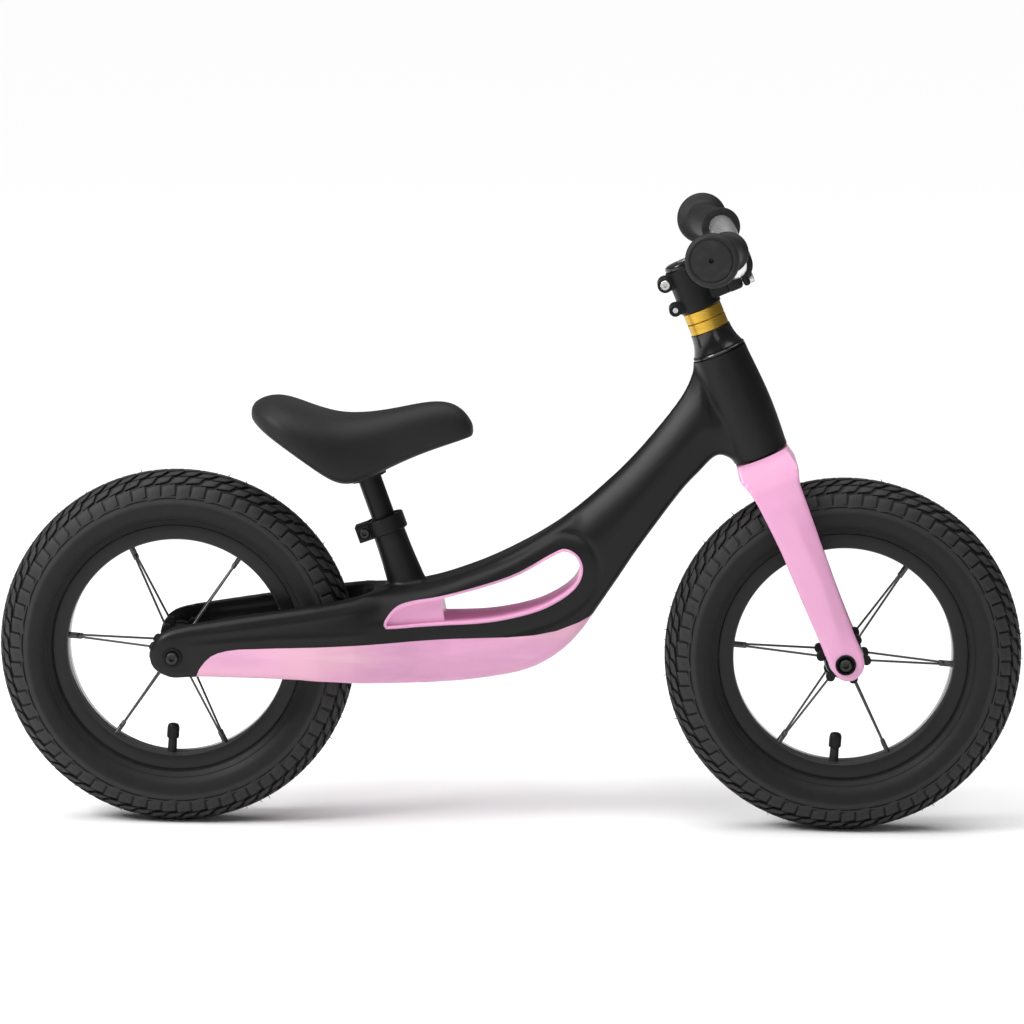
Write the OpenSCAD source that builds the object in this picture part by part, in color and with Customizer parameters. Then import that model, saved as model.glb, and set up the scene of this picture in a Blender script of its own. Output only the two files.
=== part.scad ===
// Child's balance bike: cast frame and fork, 12 1/2 inch air tyres, sliding seat post.
// +X points forward, +Y to the rider's left and +Z up. The origin is on the ground,
// midway between the two axles.

/* [Wheels] */
// Distance between the two axles
wheelbase = 578; // [572:1:600]
// Outer radius of the tyres
tyre_r = 155; // [154:0.5:158]
// Radius of the tyre's round section
tyre_section_r = 27.5; // [26:0.5:28]
// Inner radius of the rims
rim_r = 95; // [94:0.5:96]
// Radius of a spoke
spoke_r = 1; // [0.8:0.1:1.2]
// Number of spoke pairs in each wheel
spoke_pairs = 6; // [3:1:8]
// Angle of the first spoke pair above straight ahead
spoke_phase = -4.5; // [-10:0.5:10]

/* [Steering] */
// Lean of the steering axis from upright
head_angle = 23; // [21:0.5:24]
// Distance along the steering axis from the front axle to the foot of the head tube
head_foot = 191; // [188:1:194]
// Length of the head tube
head_length = 94.5; // [90:0.5:98]
// Outer radius of the steerer tube
steerer_r = 14.3; // [14:0.1:14.4]
// Height of one headset spacer
spacer_h = 10; // [5:1:12]
// Outer radius of the handlebar tube
bar_r = 11.1; // [11:0.1:11.2]

/* [Seat] */
// Lean of the seat tube from upright
seat_angle = 20; // [19:0.5:21]
// Outer radius of the seat post
post_r = 10.2; // [9.8:0.1:10.4]
// How far the seat is raised from its lowest normal height
seat_raised = 0; // [0:1:40]

/* [Hidden] */
$fn = 64;

casting_black = "#161617";
paint_pink = "#eba6cf";
moulded_black = "#202022";
rubber_black = "#1b1b1c";
steel_dark = "#4b4a4a";
steel_bright = "#c9c9cb";
gold = "#d9a92b";

rear_x = -wheelbase / 2;
front_x = wheelbase / 2;
axle_z = tyre_r;

// Running clearance, and the gap kept between loose neighbours
run = 0.05;
gap = 0.3;

// Wheel sections, as radius from the axle
section_r = tyre_r - tyre_section_r;
tyre_wall = 3.5;
rim_bed = 3;
rim_half_w = 13;
rim_wall = 1.5;
rim_outer_r = rim_r + 13;
tape_t = 0.6;
bead_half_gap = 7.5;
tube_r = 20.2;
tube_wall = 1.2;
tube_centre_r = section_r + 3.5;
valve_angle = 266.5;
valve_r = 4;
valve_foot_r = tube_centre_r - tube_r + 0.6;
valve_tip_r = 83;
valve_cap_r = 5.2;
valve_cap_h = 13;
valve_cap_foot = valve_tip_r - valve_cap_h - 0.2;
valve_tip_w = 3;

// Hubs and axles
hub_r = 17.5;
hub_bore_r = 9;
hub_half_w = 29;
flange_y = 18.5;
flange_t = 6;
spoke_boss_r = 4;
spoke_circle_r = 19.7;
spoke_foot_r = 20;
nipple_spread = 3.8;
nipple_r = 2;
nipple_in_r = 84;
nipple_out_r = rim_r + rim_bed - gap;
bearing_r = 14;
bearing_w = 8;
axle_r = 6;
shoulder_r = 9;
bolt_r = 3;
bolt_hole_r = 3.3;
bolt_head_r = 5;
bolt_head_h = 4;
bolt_length = 32;
washer_r = 8.3;
washer_t = 1.5;
rear_half = 48.5;
rear_outer = 60;
front_half = 40;
front_outer = 50.4;

// Steering stack, as distance along the axis from the front axle
head_top = head_foot + head_length;
crown_top = head_foot - 0.8;
cover_foot = head_top + gap;
spacer_foot = head_top + 21.8;
stem_foot = spacer_foot + 2 * spacer_h;
stem_h = 38.7;
stem_top = stem_foot + stem_h;
race_r = 16;
bearing_od_r = 20.5;
headset_bearing_h = 8;
steerer_wall = 1.6;
bar_s = 352.6;
bar_t = 39.4;
stem_r = 18;
steerer_room_r = 17.5;
frame_sweep_r = 36;
cap_r = 16.8;
small_screw_r = 2.4;
small_hole_r = 2.5;
screw_socket_r = 2;

// Stem clamp ears and faceplate, as forward distances t, heights s and sideways y
clamp_bolt_t = -21;
clamp_bolt_low = stem_foot + 7;
clamp_bolt_high = stem_foot + 30.4;
clamp_half_w = 10;
ear_r = 6;
clamp_screw_head_r = 4.3;
face_split = bar_t + 1.8;
face_plane = bar_t + 2;
face_t = 6;
face_half_w = 21;
face_half_h = 21;
face_round_r = bar_r + 5.5;
face_bolt_s = 16.5;
face_bolt_y = 14;
face_screw_head_r = 4;

// Seat, as distance along the seat axis from its foot
seat_foot = [-93.3, 0, 222];
collar_foot = 38;
collar_h = 14;
collar_r = 17.3;
seat_tube_r = 14.2;
post_foot = -40;
post_top = 118;
post_hole_foot = -82;
post_wall = 1.6;
saw_cut_w = 2;
lug_reach = 26.5;
lug_half_w = 9;
lug_bolt_t = -19.8;
lug_bolt_s = collar_foot + 6;
lug_seat_y = -6;
saddle_bolt_s = post_top - 14;
boss_r = 14.5;

// Catmull-Rom curve through the closed list of points p, with n steps to a span
function spline(p, n = 4) = [
    for (i = [0 : len(p) - 1], k = [0 : n - 1])
        let (
            a = p[(i + len(p) - 1) % len(p)],
            b = p[i],
            c = p[(i + 1) % len(p)],
            d = p[(i + 2) % len(p)],
            t = k / n
        )
        0.5 * (2 * b + (c - a) * t + (2 * a - 5 * b + 4 * c - d) * t * t
            + (3 * b - a - 3 * c + d) * t * t * t)
];

// Mirrors a list of [x, half width] points into a closed plan outline
function both_sides(p) = concat(p, [for (i = [len(p) - 1 : -1 : 0]) [p[i].x, -p[i].y]]);

// Turns [half width, height] points into a closed outline that is the same left and right
function left_and_right(p) = concat(p, [for (i = [len(p) - 1 : -1 : 0]) [-p[i].x, p[i].y]]);

frame_side = [
    [-310, 155], [-306, 168], [-291, 179.5], [-240, 189], [-164, 201], [-103, 211.5],
    [-61, 219], [-9.5, 239], [42, 270], [93, 315], [127, 354], [147, 382], [154.5, 400],
    [158, 410], [190, 372], [208, 330], [196, 322], [187, 327], [176, 329], [162, 315],
    [145, 296], [111, 249], [94, 223], [76, 196], [61, 174], [43, 156], [20, 142.6],
    [-10, 135], [-60, 129.7], [-117, 131.2], [-200, 136], [-270, 136.8], [-290, 135.8],
    [-305, 143],
];
frame_half_width = [
    [-312, 60], [-165, 60], [-132, 55.5], [-105, 48], [-80, 40], [-52, 34.5], [8, 29.5],
    [62, 26.5], [110, 24], [160, 22], [215, 20],
];
wheel_slot_half_width = [
    [-320, 48.5], [-272, 48.5], [-250, 46], [-160, 41], [-140, 36], [-127, 27],
    [-120, 14], [-119, 0],
];
window_side = [
    [-107, 181], [-107.5, 187], [-99, 197.5], [-86, 202.5], [-52, 209], [0, 225],
    [34, 243.5], [47, 248.5], [58.5, 242], [62.5, 229], [56.5, 214.5], [40, 201.5],
    [17, 191.5], [-20, 183.8], [-69, 181.2], [-101, 180],
];
belly_cavity_side = [
    [-105, 143], [-105, 172], [-10, 176], [28, 183], [52, 196], [58, 190], [46, 170],
    [20, 153], [-10, 145.5], [-60, 141],
];
tube_cavity_side = [
    [78, 232], [74, 255], [98, 292], [135, 338], [157, 368], [172, 345], [150, 320],
    [110, 265], [92, 236],
];
saddle_side = [
    [-225, 362], [-221, 368.5], [-210, 374], [-198, 374.2], [-180, 367.5], [-150, 360.5],
    [-130, 360.5], [-100, 365], [-78, 371], [-58, 371.5], [-44, 365], [-35.5, 353],
    [-33, 345.5], [-40, 339.5], [-70, 330], [-95, 319], [-115, 308.5], [-130, 302.5],
    [-146, 302.5], [-165, 313.5], [-202, 343.5],
];
saddle_half_width = [
    [-226, 22], [-220, 40], [-205, 56], [-185, 62], [-165, 60], [-145, 51], [-120, 37],
    [-95, 27.5], [-65, 22], [-45, 18], [-36, 12], [-32, 5],
];
saddle_hollow_side = [
    [-204, 338], [-196, 350], [-150, 342], [-100, 345], [-52, 350], [-50, 300], [-150, 295],
];
saddle_hollow_half_width = [
    [-212, 30], [-200, 46], [-180, 53], [-160, 50], [-140, 41], [-115, 28], [-90, 19],
    [-62, 14], [-46, 9],
];
saddle_base_side = [
    [-199, 341], [-194.5, 346], [-150, 338], [-100, 341], [-56, 345], [-56, 341],
    [-100, 337], [-150, 334], [-193, 342],
];

// Blade outline seen from the side, as [forward of the axis, along the axis]
blade_side = [
    [-14, 2], [-9, -11], [0, -15.5], [10, -12], [16, -2], [16.9, 20], [17.2, 45], [18, 75],
    [20, 110], [21.2, 140], [22, 158], [24.8, 167], [26.3, 174], [24.6, 183],
    [23, crown_top], [-23, crown_top], [-24.6, 183], [-25.3, 177], [-21.8, 169],
    [-18.8, 156], [-16.6, 134], [-15, 110],
    [-16.6, 84], [-16.5, 60], [-15, 30],
];
// Half width of the fork seen from the front, outside and inside, by height along the axis
fork_outside = [
    [50.4, -16], [50.4, 20], [52, 60], [53, 100], [51, 140], [44, 168], [30, 186],
    [22.6, crown_top],
];
fork_inside = [[40, -20], [40, 20], [40, 90], [37, 140], [31, 158], [20, 164], [0, 165.5]];

// Handlebar centre line: clamp, rise and sweep, on the left side
bar_path = [
    [187.5, 0, 495], [187.5, 28, 495], [185.2, 58, 503], [182, 88, 512.5],
    [180, 106, 515], [164.4, 182, 515.8],
];
grip_foot = [180, 106, 515];
grip_tip = [163.9, 186.5, 515.9];
grip_r = 14.6;

belly_cavity_w = 44;
tube_cavity_w = 34;
pocket_half_w = 27;

// Side outline in X and Z, extruded to a full width w across the bike
module side(w) rotate([90, 0, 0]) linear_extrude(w, center = true) children();

// Plan outline in X and Y, standing from z0 to z1
module plan(z0, z1) translate([0, 0, z0]) linear_extrude(z1 - z0) children();

// Solid that is the same seen from both the side and above
module side_and_plan(outline, widths) {
    intersection() {
        side(200) polygon(outline);
        plan(0, 600) polygon(both_sides(widths));
    }
}

// Cylinder across the bike from y0 to y1
module cross_rod(r, y0, y1) translate([0, y1, 0]) rotate([90, 0, 0]) cylinder(r = r, h = y1 - y0);

// Rod of radius r from a to b
module rod(a, b, r) {
    d = b - a;
    translate(a)
        rotate([0, acos(d.z / norm(d)), atan2(d.y, d.x)])
            cylinder(r = r, h = norm(d));
}

// Ring about local Z
module ring(r_out, r_in, h) {
    difference() {
        cylinder(r = r_out, h = h);
        translate([0, 0, -1]) cylinder(r = r_in, h = h + 2);
    }
}

// Left part and its twin on the right
module both_ends() {
    children();
    mirror([0, 1, 0]) children();
}

module at_wheel(x) translate([x, 0, axle_z]) children();
module wheel_frame() rotate([90, 0, 0]) children();
module steering_frame() translate([front_x, 0, axle_z]) rotate([0, -head_angle, 0]) children();
module seat_frame() translate(seat_foot) rotate([0, -seat_angle, 0]) children();
module raised() seat_frame() translate([0, 0, seat_raised]) rotate([0, seat_angle, 0])
    translate(-seat_foot) children();

// ---- Frame ----

module frame_shell() {
    side_and_plan(spline(frame_side, 3), frame_half_width);
    steering_frame()
        rotate_extrude()
            polygon([
                [0, head_foot], [22.4, head_foot], [24.6, head_foot + 18], [25.6, head_foot + 42],
                [25, head_foot + 68], [23.3, head_top], [0, head_top],
            ]);
    seat_frame() {
        translate([0, 0, -10]) cylinder(r1 = 16.4, r2 = seat_tube_r, h = 26);
        translate([0, 0, -10]) cylinder(r = seat_tube_r, h = collar_foot + collar_h + 9);
    }
}

module window_cut() {
    intersection() {
        side(200) polygon(spline(window_side, 3));
        union() {
            side(200) polygon([[-60, 199], [-55, 170], [90, 170], [90, 260], [-60, 260]]);
            both_ends()
                plan(170, 260)
                    polygon([[-120, 45], [-100, 39], [-50, pocket_half_w], [-50, 90], [-120, 90]]);
        }
    }
}

// Bore, bearing seats and room for the turning parts above and below the head tube
module head_cut() steering_frame() {
    translate([0, 0, head_foot - 5]) cylinder(r = steerer_room_r, h = head_length + 10);
    translate([0, 0, head_foot - 1]) cylinder(r = bearing_od_r, h = headset_bearing_h + 1);
    translate([0, 0, head_top - headset_bearing_h]) cylinder(r = bearing_od_r, h = headset_bearing_h + 1);
    translate([0, 0, head_foot - 40]) cylinder(r = frame_sweep_r, h = 40);
    translate([0, 0, head_top]) cylinder(r = frame_sweep_r, h = 40);
}

module frame() color(casting_black) {
    difference() {
        frame_shell();
        side_and_plan([[-330, 120], [-110, 120], [-110, 230], [-330, 230]], wheel_slot_half_width);
        window_cut();
        side(belly_cavity_w) polygon(belly_cavity_side);
        side(tube_cavity_w) polygon(tube_cavity_side);
        at_wheel(rear_x) cross_rod(bolt_hole_r, -70, 70);
        seat_frame() translate([0, 0, post_hole_foot]) cylinder(r = post_r + run, h = 150);
        seat_frame() translate([-30, -saw_cut_w / 2, 18]) cube([30, saw_cut_w, 40]);
        head_cut();
    }
}

module headset_bearing(s) color(steel_dark)
    steering_frame() translate([0, 0, s]) ring(bearing_od_r, race_r + run, headset_bearing_h);

module upper_bearing() headset_bearing(head_top - headset_bearing_h);
module lower_bearing() headset_bearing(head_foot);

module at_lug() seat_frame() translate([lug_bolt_t, 0, lug_bolt_s]) children();

module seat_clamp() color(moulded_black)
    difference() {
        seat_frame() {
            translate([0, 0, collar_foot]) cylinder(r = collar_r, h = collar_h);
            translate([-lug_reach, -lug_half_w, collar_foot - 1]) cube([20, 2 * lug_half_w, collar_h + 1]);
        }
        seat_frame() {
            translate([0, 0, collar_foot - 2]) cylinder(r = seat_tube_r, h = collar_h + 4);
            translate([-30, -saw_cut_w / 2, collar_foot - 2]) cube([30, saw_cut_w, collar_h + 4]);
        }
        at_lug() cross_rod(small_hole_r + 0.1, -20, 20);
        at_lug() cross_rod(4.6, -20, lug_seat_y);
    }

module seat_clamp_bolt() color(steel_dark)
    at_lug()
        difference() {
            union() {
                cross_rod(small_hole_r, lug_seat_y, lug_half_w + 0.5);
                cross_rod(4.4, lug_seat_y - 3.8, lug_seat_y);
            }
            cross_rod(screw_socket_r, lug_seat_y - 5, lug_seat_y - 1);
        }

// Spool shaped axle with a threaded hole in each end
module axle(half) color(steel_dark)
    difference() {
        union() {
            cross_rod(axle_r, -half, half);
            both_ends() cross_rod(shoulder_r, half - 10, half);
        }
        cross_rod(bolt_r, -half - 1, half + 1);
    }

module axle_bolt(outer) {
    difference() {
        union() {
            cross_rod(bolt_r, outer - bolt_length, outer + 2);
            cross_rod(bolt_head_r, outer + washer_t, outer + washer_t + bolt_head_h);
        }
        cross_rod(small_hole_r, outer + washer_t + 1, outer + washer_t + bolt_head_h + 1);
    }
}

module axle_bolts(outer) color(steel_dark) both_ends() axle_bolt(outer);

module axle_washers(outer) color(moulded_black)
    both_ends()
        difference() {
            cross_rod(washer_r, outer, outer + washer_t);
            cross_rod(bolt_r + 0.2, outer - 1, outer + 3);
        }

module rear_axle() at_wheel(rear_x) axle(rear_half);
module rear_axle_bolts() at_wheel(rear_x) axle_bolts(rear_outer);
module rear_axle_washers() at_wheel(rear_x) axle_washers(rear_outer);
module front_axle() at_wheel(front_x) axle(front_half);
module front_axle_bolts() at_wheel(front_x) axle_bolts(front_outer);
module front_axle_washers() at_wheel(front_x) axle_washers(front_outer);

// ---- Seat ----

module seat_post() color(moulded_black)
    raised() seat_frame()
        difference() {
            translate([0, 0, post_foot]) cylinder(r = post_r, h = post_top - post_foot);
            translate([0, 0, post_foot - 1]) cylinder(r = post_r - post_wall, h = post_top - post_foot - 2);
            translate([0, 0, saddle_bolt_s]) cross_rod(small_hole_r, -20, 20);
        }

module saddle_base() color(moulded_black)
    raised()
        difference() {
            union() {
                side_and_plan(saddle_base_side, [for (p = saddle_hollow_half_width) [p.x, p.y - gap]]);
                seat_frame() {
                    translate([0, 0, post_top - 24]) cylinder(r = boss_r, h = 32);
                    translate([0, 0, post_top - 30]) cylinder(r = boss_r + 1, h = 7);
                }
            }
            seat_frame() translate([0, 0, post_top - 40]) cylinder(r = post_r, h = 40);
            seat_frame() translate([0, 0, saddle_bolt_s]) cross_rod(small_hole_r, -20, 20);
            side(200) polygon([[-230, 345], [-150, 339.9], [-40, 347], [-40, 400], [-230, 400]]);
        }

module saddle_pad() color(rubber_black)
    raised()
        difference() {
            side_and_plan(spline(saddle_side, 3), saddle_half_width);
            side_and_plan(saddle_hollow_side, saddle_hollow_half_width);
        }

module saddle_bolt() color(steel_dark)
    raised() seat_frame()
        translate([0, 0, saddle_bolt_s]) {
            cross_rod(small_screw_r, -15, 15);
            both_ends() cross_rod(4.5, boss_r + gap, boss_r + gap + 3.2);
        }

// ---- Wheels ----

module tyre() color(rubber_black)
    wheel_frame()
        rotate_extrude() {
            difference() {
                translate([section_r, 0]) circle(tyre_section_r);
                translate([section_r, 0]) circle(tyre_section_r - tyre_wall);
                translate([0, -50]) square([rim_outer_r + gap, 100]);
            }
            for (side_sign = [-1, 1])
                translate([rim_outer_r + gap, side_sign * (bead_half_gap + 5)])
                    square([3, 10], center = true);
            for (side_sign = [-1, 1])
                translate([rim_r + rim_bed + tape_t, side_sign * (bead_half_gap + 1.8) - 1.7])
                    square([11, 3.4]);
        }

module inner_tube() color(rubber_black)
    wheel_frame()
        rotate_extrude()
            translate([tube_centre_r, 0])
                difference() {
                    circle(tube_r);
                    circle(tube_r - tube_wall);
                }

// Hole of radius r, from the inner edge of the rim outwards along local X
module rim_hole(r) translate([rim_r - 10, 0, 0]) rotate([0, 90, 0]) cylinder(r = r, h = 16);

// Drills the holes of the spokes and the valve through a ring on the wheel
module drilled() {
    difference() {
        children();
        spoke_places() rim_hole(nipple_r + 0.15);
        valve_place() rim_hole(valve_r + 0.2);
    }
}

module rim_tape() color("#7d2230")
    wheel_frame()
        difference() {
            translate([0, 0, -bead_half_gap + 0.5])
                ring(rim_r + rim_bed + tape_t, rim_r + rim_bed, 2 * bead_half_gap - 1);
            valve_place() rim_hole(valve_r + 0.2);
        }

module rim() color("#2a2a2c")
    wheel_frame()
        drilled()
            rotate_extrude() {
                translate([rim_r, -rim_half_w]) square([rim_bed, 2 * rim_half_w]);
                for (side_sign = [-1, 1])
                    translate([rim_r, side_sign * (rim_half_w - rim_wall / 2) - rim_wall / 2])
                        square([rim_outer_r - rim_r, rim_wall]);
            }

// Puts a spoke, drawn along local X, at each of its places in the wheel
module spoke_places() {
    for (i = [0 : spoke_pairs - 1])
        rotate([0, 0, spoke_phase + 360 * i / spoke_pairs])
            for (side_sign = [-1, 1])
                translate([0, 0, side_sign * nipple_spread]) children();
}

module valve_place() rotate([0, 0, valve_angle]) children();

module spokes() color(steel_dark)
    wheel_frame()
        for (i = [0 : spoke_pairs - 1], side_sign = [-1, 1])
            rotate([0, 0, spoke_phase + 360 * i / spoke_pairs])
                rod([spoke_foot_r, 0, side_sign * flange_y], [rim_r - 5, 0, side_sign * nipple_spread],
                    spoke_r);

module nipples() color(steel_dark)
    wheel_frame()
        spoke_places()
            rotate([0, 90, 0])
                difference() {
                    translate([0, 0, nipple_in_r]) cylinder(r = nipple_r, h = nipple_out_r - nipple_in_r);
                    translate([0, 0, nipple_in_r - 1]) cylinder(r = spoke_r + 0.75, h = 9);
                }

module hub() color(moulded_black)
    wheel_frame() {
        rotate_extrude()
            for (end = [0, 1])
                mirror([0, end])
                    polygon([
                        [hub_bore_r, 0], [hub_r - 2, 0], [hub_r - 1, flange_y - flange_t / 2],
                        [hub_r, flange_y - flange_t / 2], [hub_r, flange_y + flange_t / 2],
                        [hub_r - 1, hub_half_w], [bearing_r, hub_half_w],
                        [bearing_r, hub_half_w - bearing_w], [hub_bore_r, hub_half_w - bearing_w],
                    ]);
        for (i = [0 : spoke_pairs - 1], side_sign = [-1, 1])
            rotate([0, 0, spoke_phase + 360 * i / spoke_pairs])
                translate([spoke_circle_r, 0, side_sign * flange_y - flange_t / 2 - 0.5])
                    cylinder(r = spoke_boss_r, h = flange_t + 1);
    }

module hub_bearings() color(steel_bright)
    wheel_frame()
        for (side_sign = [-1, 1])
            translate([0, 0, side_sign * (hub_half_w - bearing_w / 2) - bearing_w / 2])
                ring(bearing_r, axle_r + run, bearing_w);

module valve() color(rubber_black)
    wheel_frame()
        valve_place()
            rotate([0, 90, 0])
                difference() {
                    union() {
                        translate([0, 0, valve_tip_r]) cylinder(r = valve_r, h = valve_foot_r - valve_tip_r);
                        translate([0, 0, valve_tip_r - 9]) cylinder(r = valve_tip_w, h = 10);
                    }
                    translate([0, 0, valve_tip_r - 10]) cylinder(r = 1.3, h = 70);
                }

module valve_cap() color(rubber_black)
    wheel_frame()
        valve_place()
            rotate([0, 90, 0])
                difference() {
                    translate([0, 0, valve_cap_foot]) cylinder(r = valve_cap_r, h = valve_cap_h);
                    translate([0, 0, valve_tip_r - 10.5]) cylinder(r = valve_tip_w + run, h = 12);
                }

module rear_tyre() at_wheel(rear_x) tyre();
module rear_inner_tube() at_wheel(rear_x) inner_tube();
module rear_rim_tape() at_wheel(rear_x) rim_tape();
module rear_rim() at_wheel(rear_x) rim();
module rear_spokes() at_wheel(rear_x) spokes();
module rear_nipples() at_wheel(rear_x) nipples();
module rear_hub() at_wheel(rear_x) hub();
module rear_hub_bearings() at_wheel(rear_x) hub_bearings();
module rear_valve() at_wheel(rear_x) valve();
module rear_valve_cap() at_wheel(rear_x) valve_cap();
module front_tyre() at_wheel(front_x) tyre();
module front_inner_tube() at_wheel(front_x) inner_tube();
module front_rim_tape() at_wheel(front_x) rim_tape();
module front_rim() at_wheel(front_x) rim();
module front_spokes() at_wheel(front_x) spokes();
module front_nipples() at_wheel(front_x) nipples();
module front_hub() at_wheel(front_x) hub();
module front_hub_bearings() at_wheel(front_x) hub_bearings();
module front_valve() at_wheel(front_x) valve();
module front_valve_cap() at_wheel(front_x) valve_cap();

// ---- Steering ----

// Outline of half widths by height, seen from the front, extruded along the travel direction
module front_view(p) rotate([90, 0, 90]) linear_extrude(80, center = true) polygon(left_and_right(p));

module fork() color(paint_pink)
    steering_frame()
        difference() {
            intersection() {
                side(120) polygon(blade_side);
                front_view(fork_outside);
            }
            front_view(fork_inside);
            cross_rod(bolt_hole_r, -70, 70);
            translate([0, 0, 150]) cylinder(r = steerer_r, h = 60);
        }

module steerer() color(steel_dark)
    steering_frame() translate([0, 0, 166]) ring(steerer_r, steerer_r - steerer_wall, stem_top - 169);

module crown_race() color(steel_dark)
    steering_frame() translate([0, 0, crown_top]) ring(race_r, steerer_r, headset_bearing_h);

module compression_ring() color(steel_dark)
    steering_frame()
        translate([0, 0, head_top - headset_bearing_h + 1]) ring(race_r, steerer_r, headset_bearing_h);

module headset_cover() color(moulded_black)
    steering_frame()
        difference() {
            rotate_extrude()
                polygon([
                    [0, cover_foot], [23.2, cover_foot], [23.2, cover_foot + 2],
                    [21, cover_foot + 2.6], [19, cover_foot + 8], [18, cover_foot + 14],
                    [17.4, spacer_foot], [0, spacer_foot],
                ]);
            translate([0, 0, cover_foot - 1]) cylinder(r = race_r + run, h = 4);
            translate([0, 0, cover_foot - 1]) cylinder(r = steerer_r, h = 40);
        }

module spacer(s) color(gold)
    steering_frame()
        difference() {
            translate([0, 0, s]) cylinder(r = 17, h = spacer_h);
            translate([0, 0, s - 1]) cylinder(r = steerer_r, h = spacer_h + 2);
        }

module lower_spacer() spacer(spacer_foot);
module upper_spacer() spacer(spacer_foot + spacer_h);

module at_bar() translate([bar_t, 0, bar_s]) children();

module stem() color(moulded_black)
    steering_frame()
        difference() {
            union() {
                translate([0, 0, stem_foot]) cylinder(r = stem_r, h = stem_h);
                for (s = [clamp_bolt_low, clamp_bolt_high])
                    translate([clamp_bolt_t, 0, s]) {
                        cross_rod(ear_r, -clamp_half_w, clamp_half_w);
                        translate([0, -clamp_half_w, -5.7]) cube([14, 2 * clamp_half_w, 11.4]);
                    }
                translate([8, -14, stem_foot + 5]) cube([bar_t - 12, 28, 30]);
                at_bar() cross_rod(face_round_r, -face_half_w, face_half_w);
                translate([bar_t - 9, -face_half_w, bar_s - face_half_h])
                    cube([9 + 1.8, 2 * face_half_w, 2 * face_half_h]);
            }
            translate([0, 0, stem_foot - 1]) cylinder(r = steerer_r, h = stem_h + 2);
            translate([-40, -saw_cut_w / 2, stem_foot - 1]) cube([40, saw_cut_w, stem_h + 2]);
            at_bar() cross_rod(bar_r, -40, 40);
            translate([face_split, -40, bar_s - 40]) cube([40, 80, 80]);
            for (s = [clamp_bolt_low, clamp_bolt_high])
                translate([clamp_bolt_t, 0, s]) cross_rod(small_hole_r, -20, 20);
            face_bolt_places() forward_rod(small_hole_r, -12, 18);
        }

module face_bolt_places() {
    for (y = [-face_bolt_y, face_bolt_y], s = [-face_bolt_s, face_bolt_s])
        translate([face_plane, y, bar_s + s]) children();
}

// Cylinder pointing forward from t0 to t1
module forward_rod(r, t0, t1) translate([t0, 0, 0]) rotate([0, 90, 0]) cylinder(r = r, h = t1 - t0);

module stem_faceplate() color(moulded_black)
    steering_frame()
        difference() {
            union() {
                at_bar() cross_rod(face_round_r, -face_half_w, face_half_w);
                translate([face_plane, -face_half_w, bar_s - face_half_h])
                    cube([face_t, 2 * face_half_w, 2 * face_half_h]);
            }
            at_bar() cross_rod(bar_r, -40, 40);
            translate([face_plane - 60, -40, bar_s - 40]) cube([60, 80, 80]);
            for (s = [-22, 14])
                translate([face_plane - 1, -7, bar_s + s]) cube([30, 14, 8]);
            face_bolt_places() forward_rod(small_hole_r + 0.1, -1, 9);
            face_bolt_places() forward_rod(face_screw_head_r + gap, face_t, 30);
        }

module faceplate_bolts() color(steel_bright)
    steering_frame()
        face_bolt_places()
            difference() {
                union() {
                    forward_rod(small_screw_r, -10, face_t + 1);
                    forward_rod(face_screw_head_r, face_t + 0.1, face_t + 4.1);
                }
                forward_rod(screw_socket_r, face_t + 1.6, face_t + 6);
            }

module stem_clamp_bolt() {
    difference() {
        union() {
            cross_rod(small_screw_r, -clamp_half_w, clamp_half_w);
            cross_rod(clamp_screw_head_r, -clamp_half_w - 4, -clamp_half_w - 0.1);
        }
        cross_rod(screw_socket_r, -clamp_half_w - 5, -clamp_half_w - 1.5);
    }
}

module stem_clamp_bolts() color(steel_bright)
    steering_frame() {
        translate([clamp_bolt_t, 0, clamp_bolt_high]) stem_clamp_bolt();
        translate([clamp_bolt_t, 0, clamp_bolt_low]) mirror([0, 1, 0]) stem_clamp_bolt();
    }

module top_cap() color(moulded_black)
    steering_frame()
        difference() {
            translate([0, 0, stem_top + 0.1]) {
                cylinder(r = cap_r, h = 3);
                translate([0, 0, 3]) cylinder(r1 = cap_r, r2 = cap_r - 3.3, h = 2);
                translate([0, 0, -2.5]) cylinder(r = steerer_r - steerer_wall - 0.3, h = 3);
            }
            translate([0, 0, stem_top - 4]) cylinder(r = 3.2, h = 12);
            translate([0, 0, stem_top + 2.1]) cylinder(r = 5.6, h = 12);
        }

module top_cap_bolt() color(steel_bright)
    steering_frame()
        difference() {
            union() {
                translate([0, 0, stem_top - 32]) cylinder(r = 2.9, h = 36);
                translate([0, 0, stem_top + 2.1]) cylinder(r = 5.2, h = 3);
            }
            translate([0, 0, stem_top + 3]) cylinder(r = 2.5, h = 4);
        }

module star_nut() color(steel_bright)
    steering_frame()
        for (s = [stem_top - 30, stem_top - 22])
            translate([0, 0, s]) ring(steerer_r - steerer_wall - 0.05, 2.9, 1.2);

module handlebar() color(steel_bright)
    both_ends()
        for (i = [0 : len(bar_path) - 2]) {
            rod(bar_path[i], bar_path[i + 1], bar_r);
            if (i > 0) translate(bar_path[i]) sphere(bar_r);
        }

module grip() {
    d = grip_tip - grip_foot;
    u = d / norm(d);
    difference() {
        union() {
            rod(grip_foot, grip_tip, grip_r);
            rod(grip_foot, grip_foot + 4 * u, 17.5);
            rod(grip_tip - 7 * u, grip_tip - u, 22.3);
            rod(grip_tip - 8 * u, grip_tip, 20);
        }
        rod(grip_foot - 2 * u, grip_tip - 4 * u, bar_r + 0.05);
    }
}

module grip_left() color(rubber_black) grip();
module grip_right() color(rubber_black) mirror([0, 1, 0]) grip();

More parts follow.
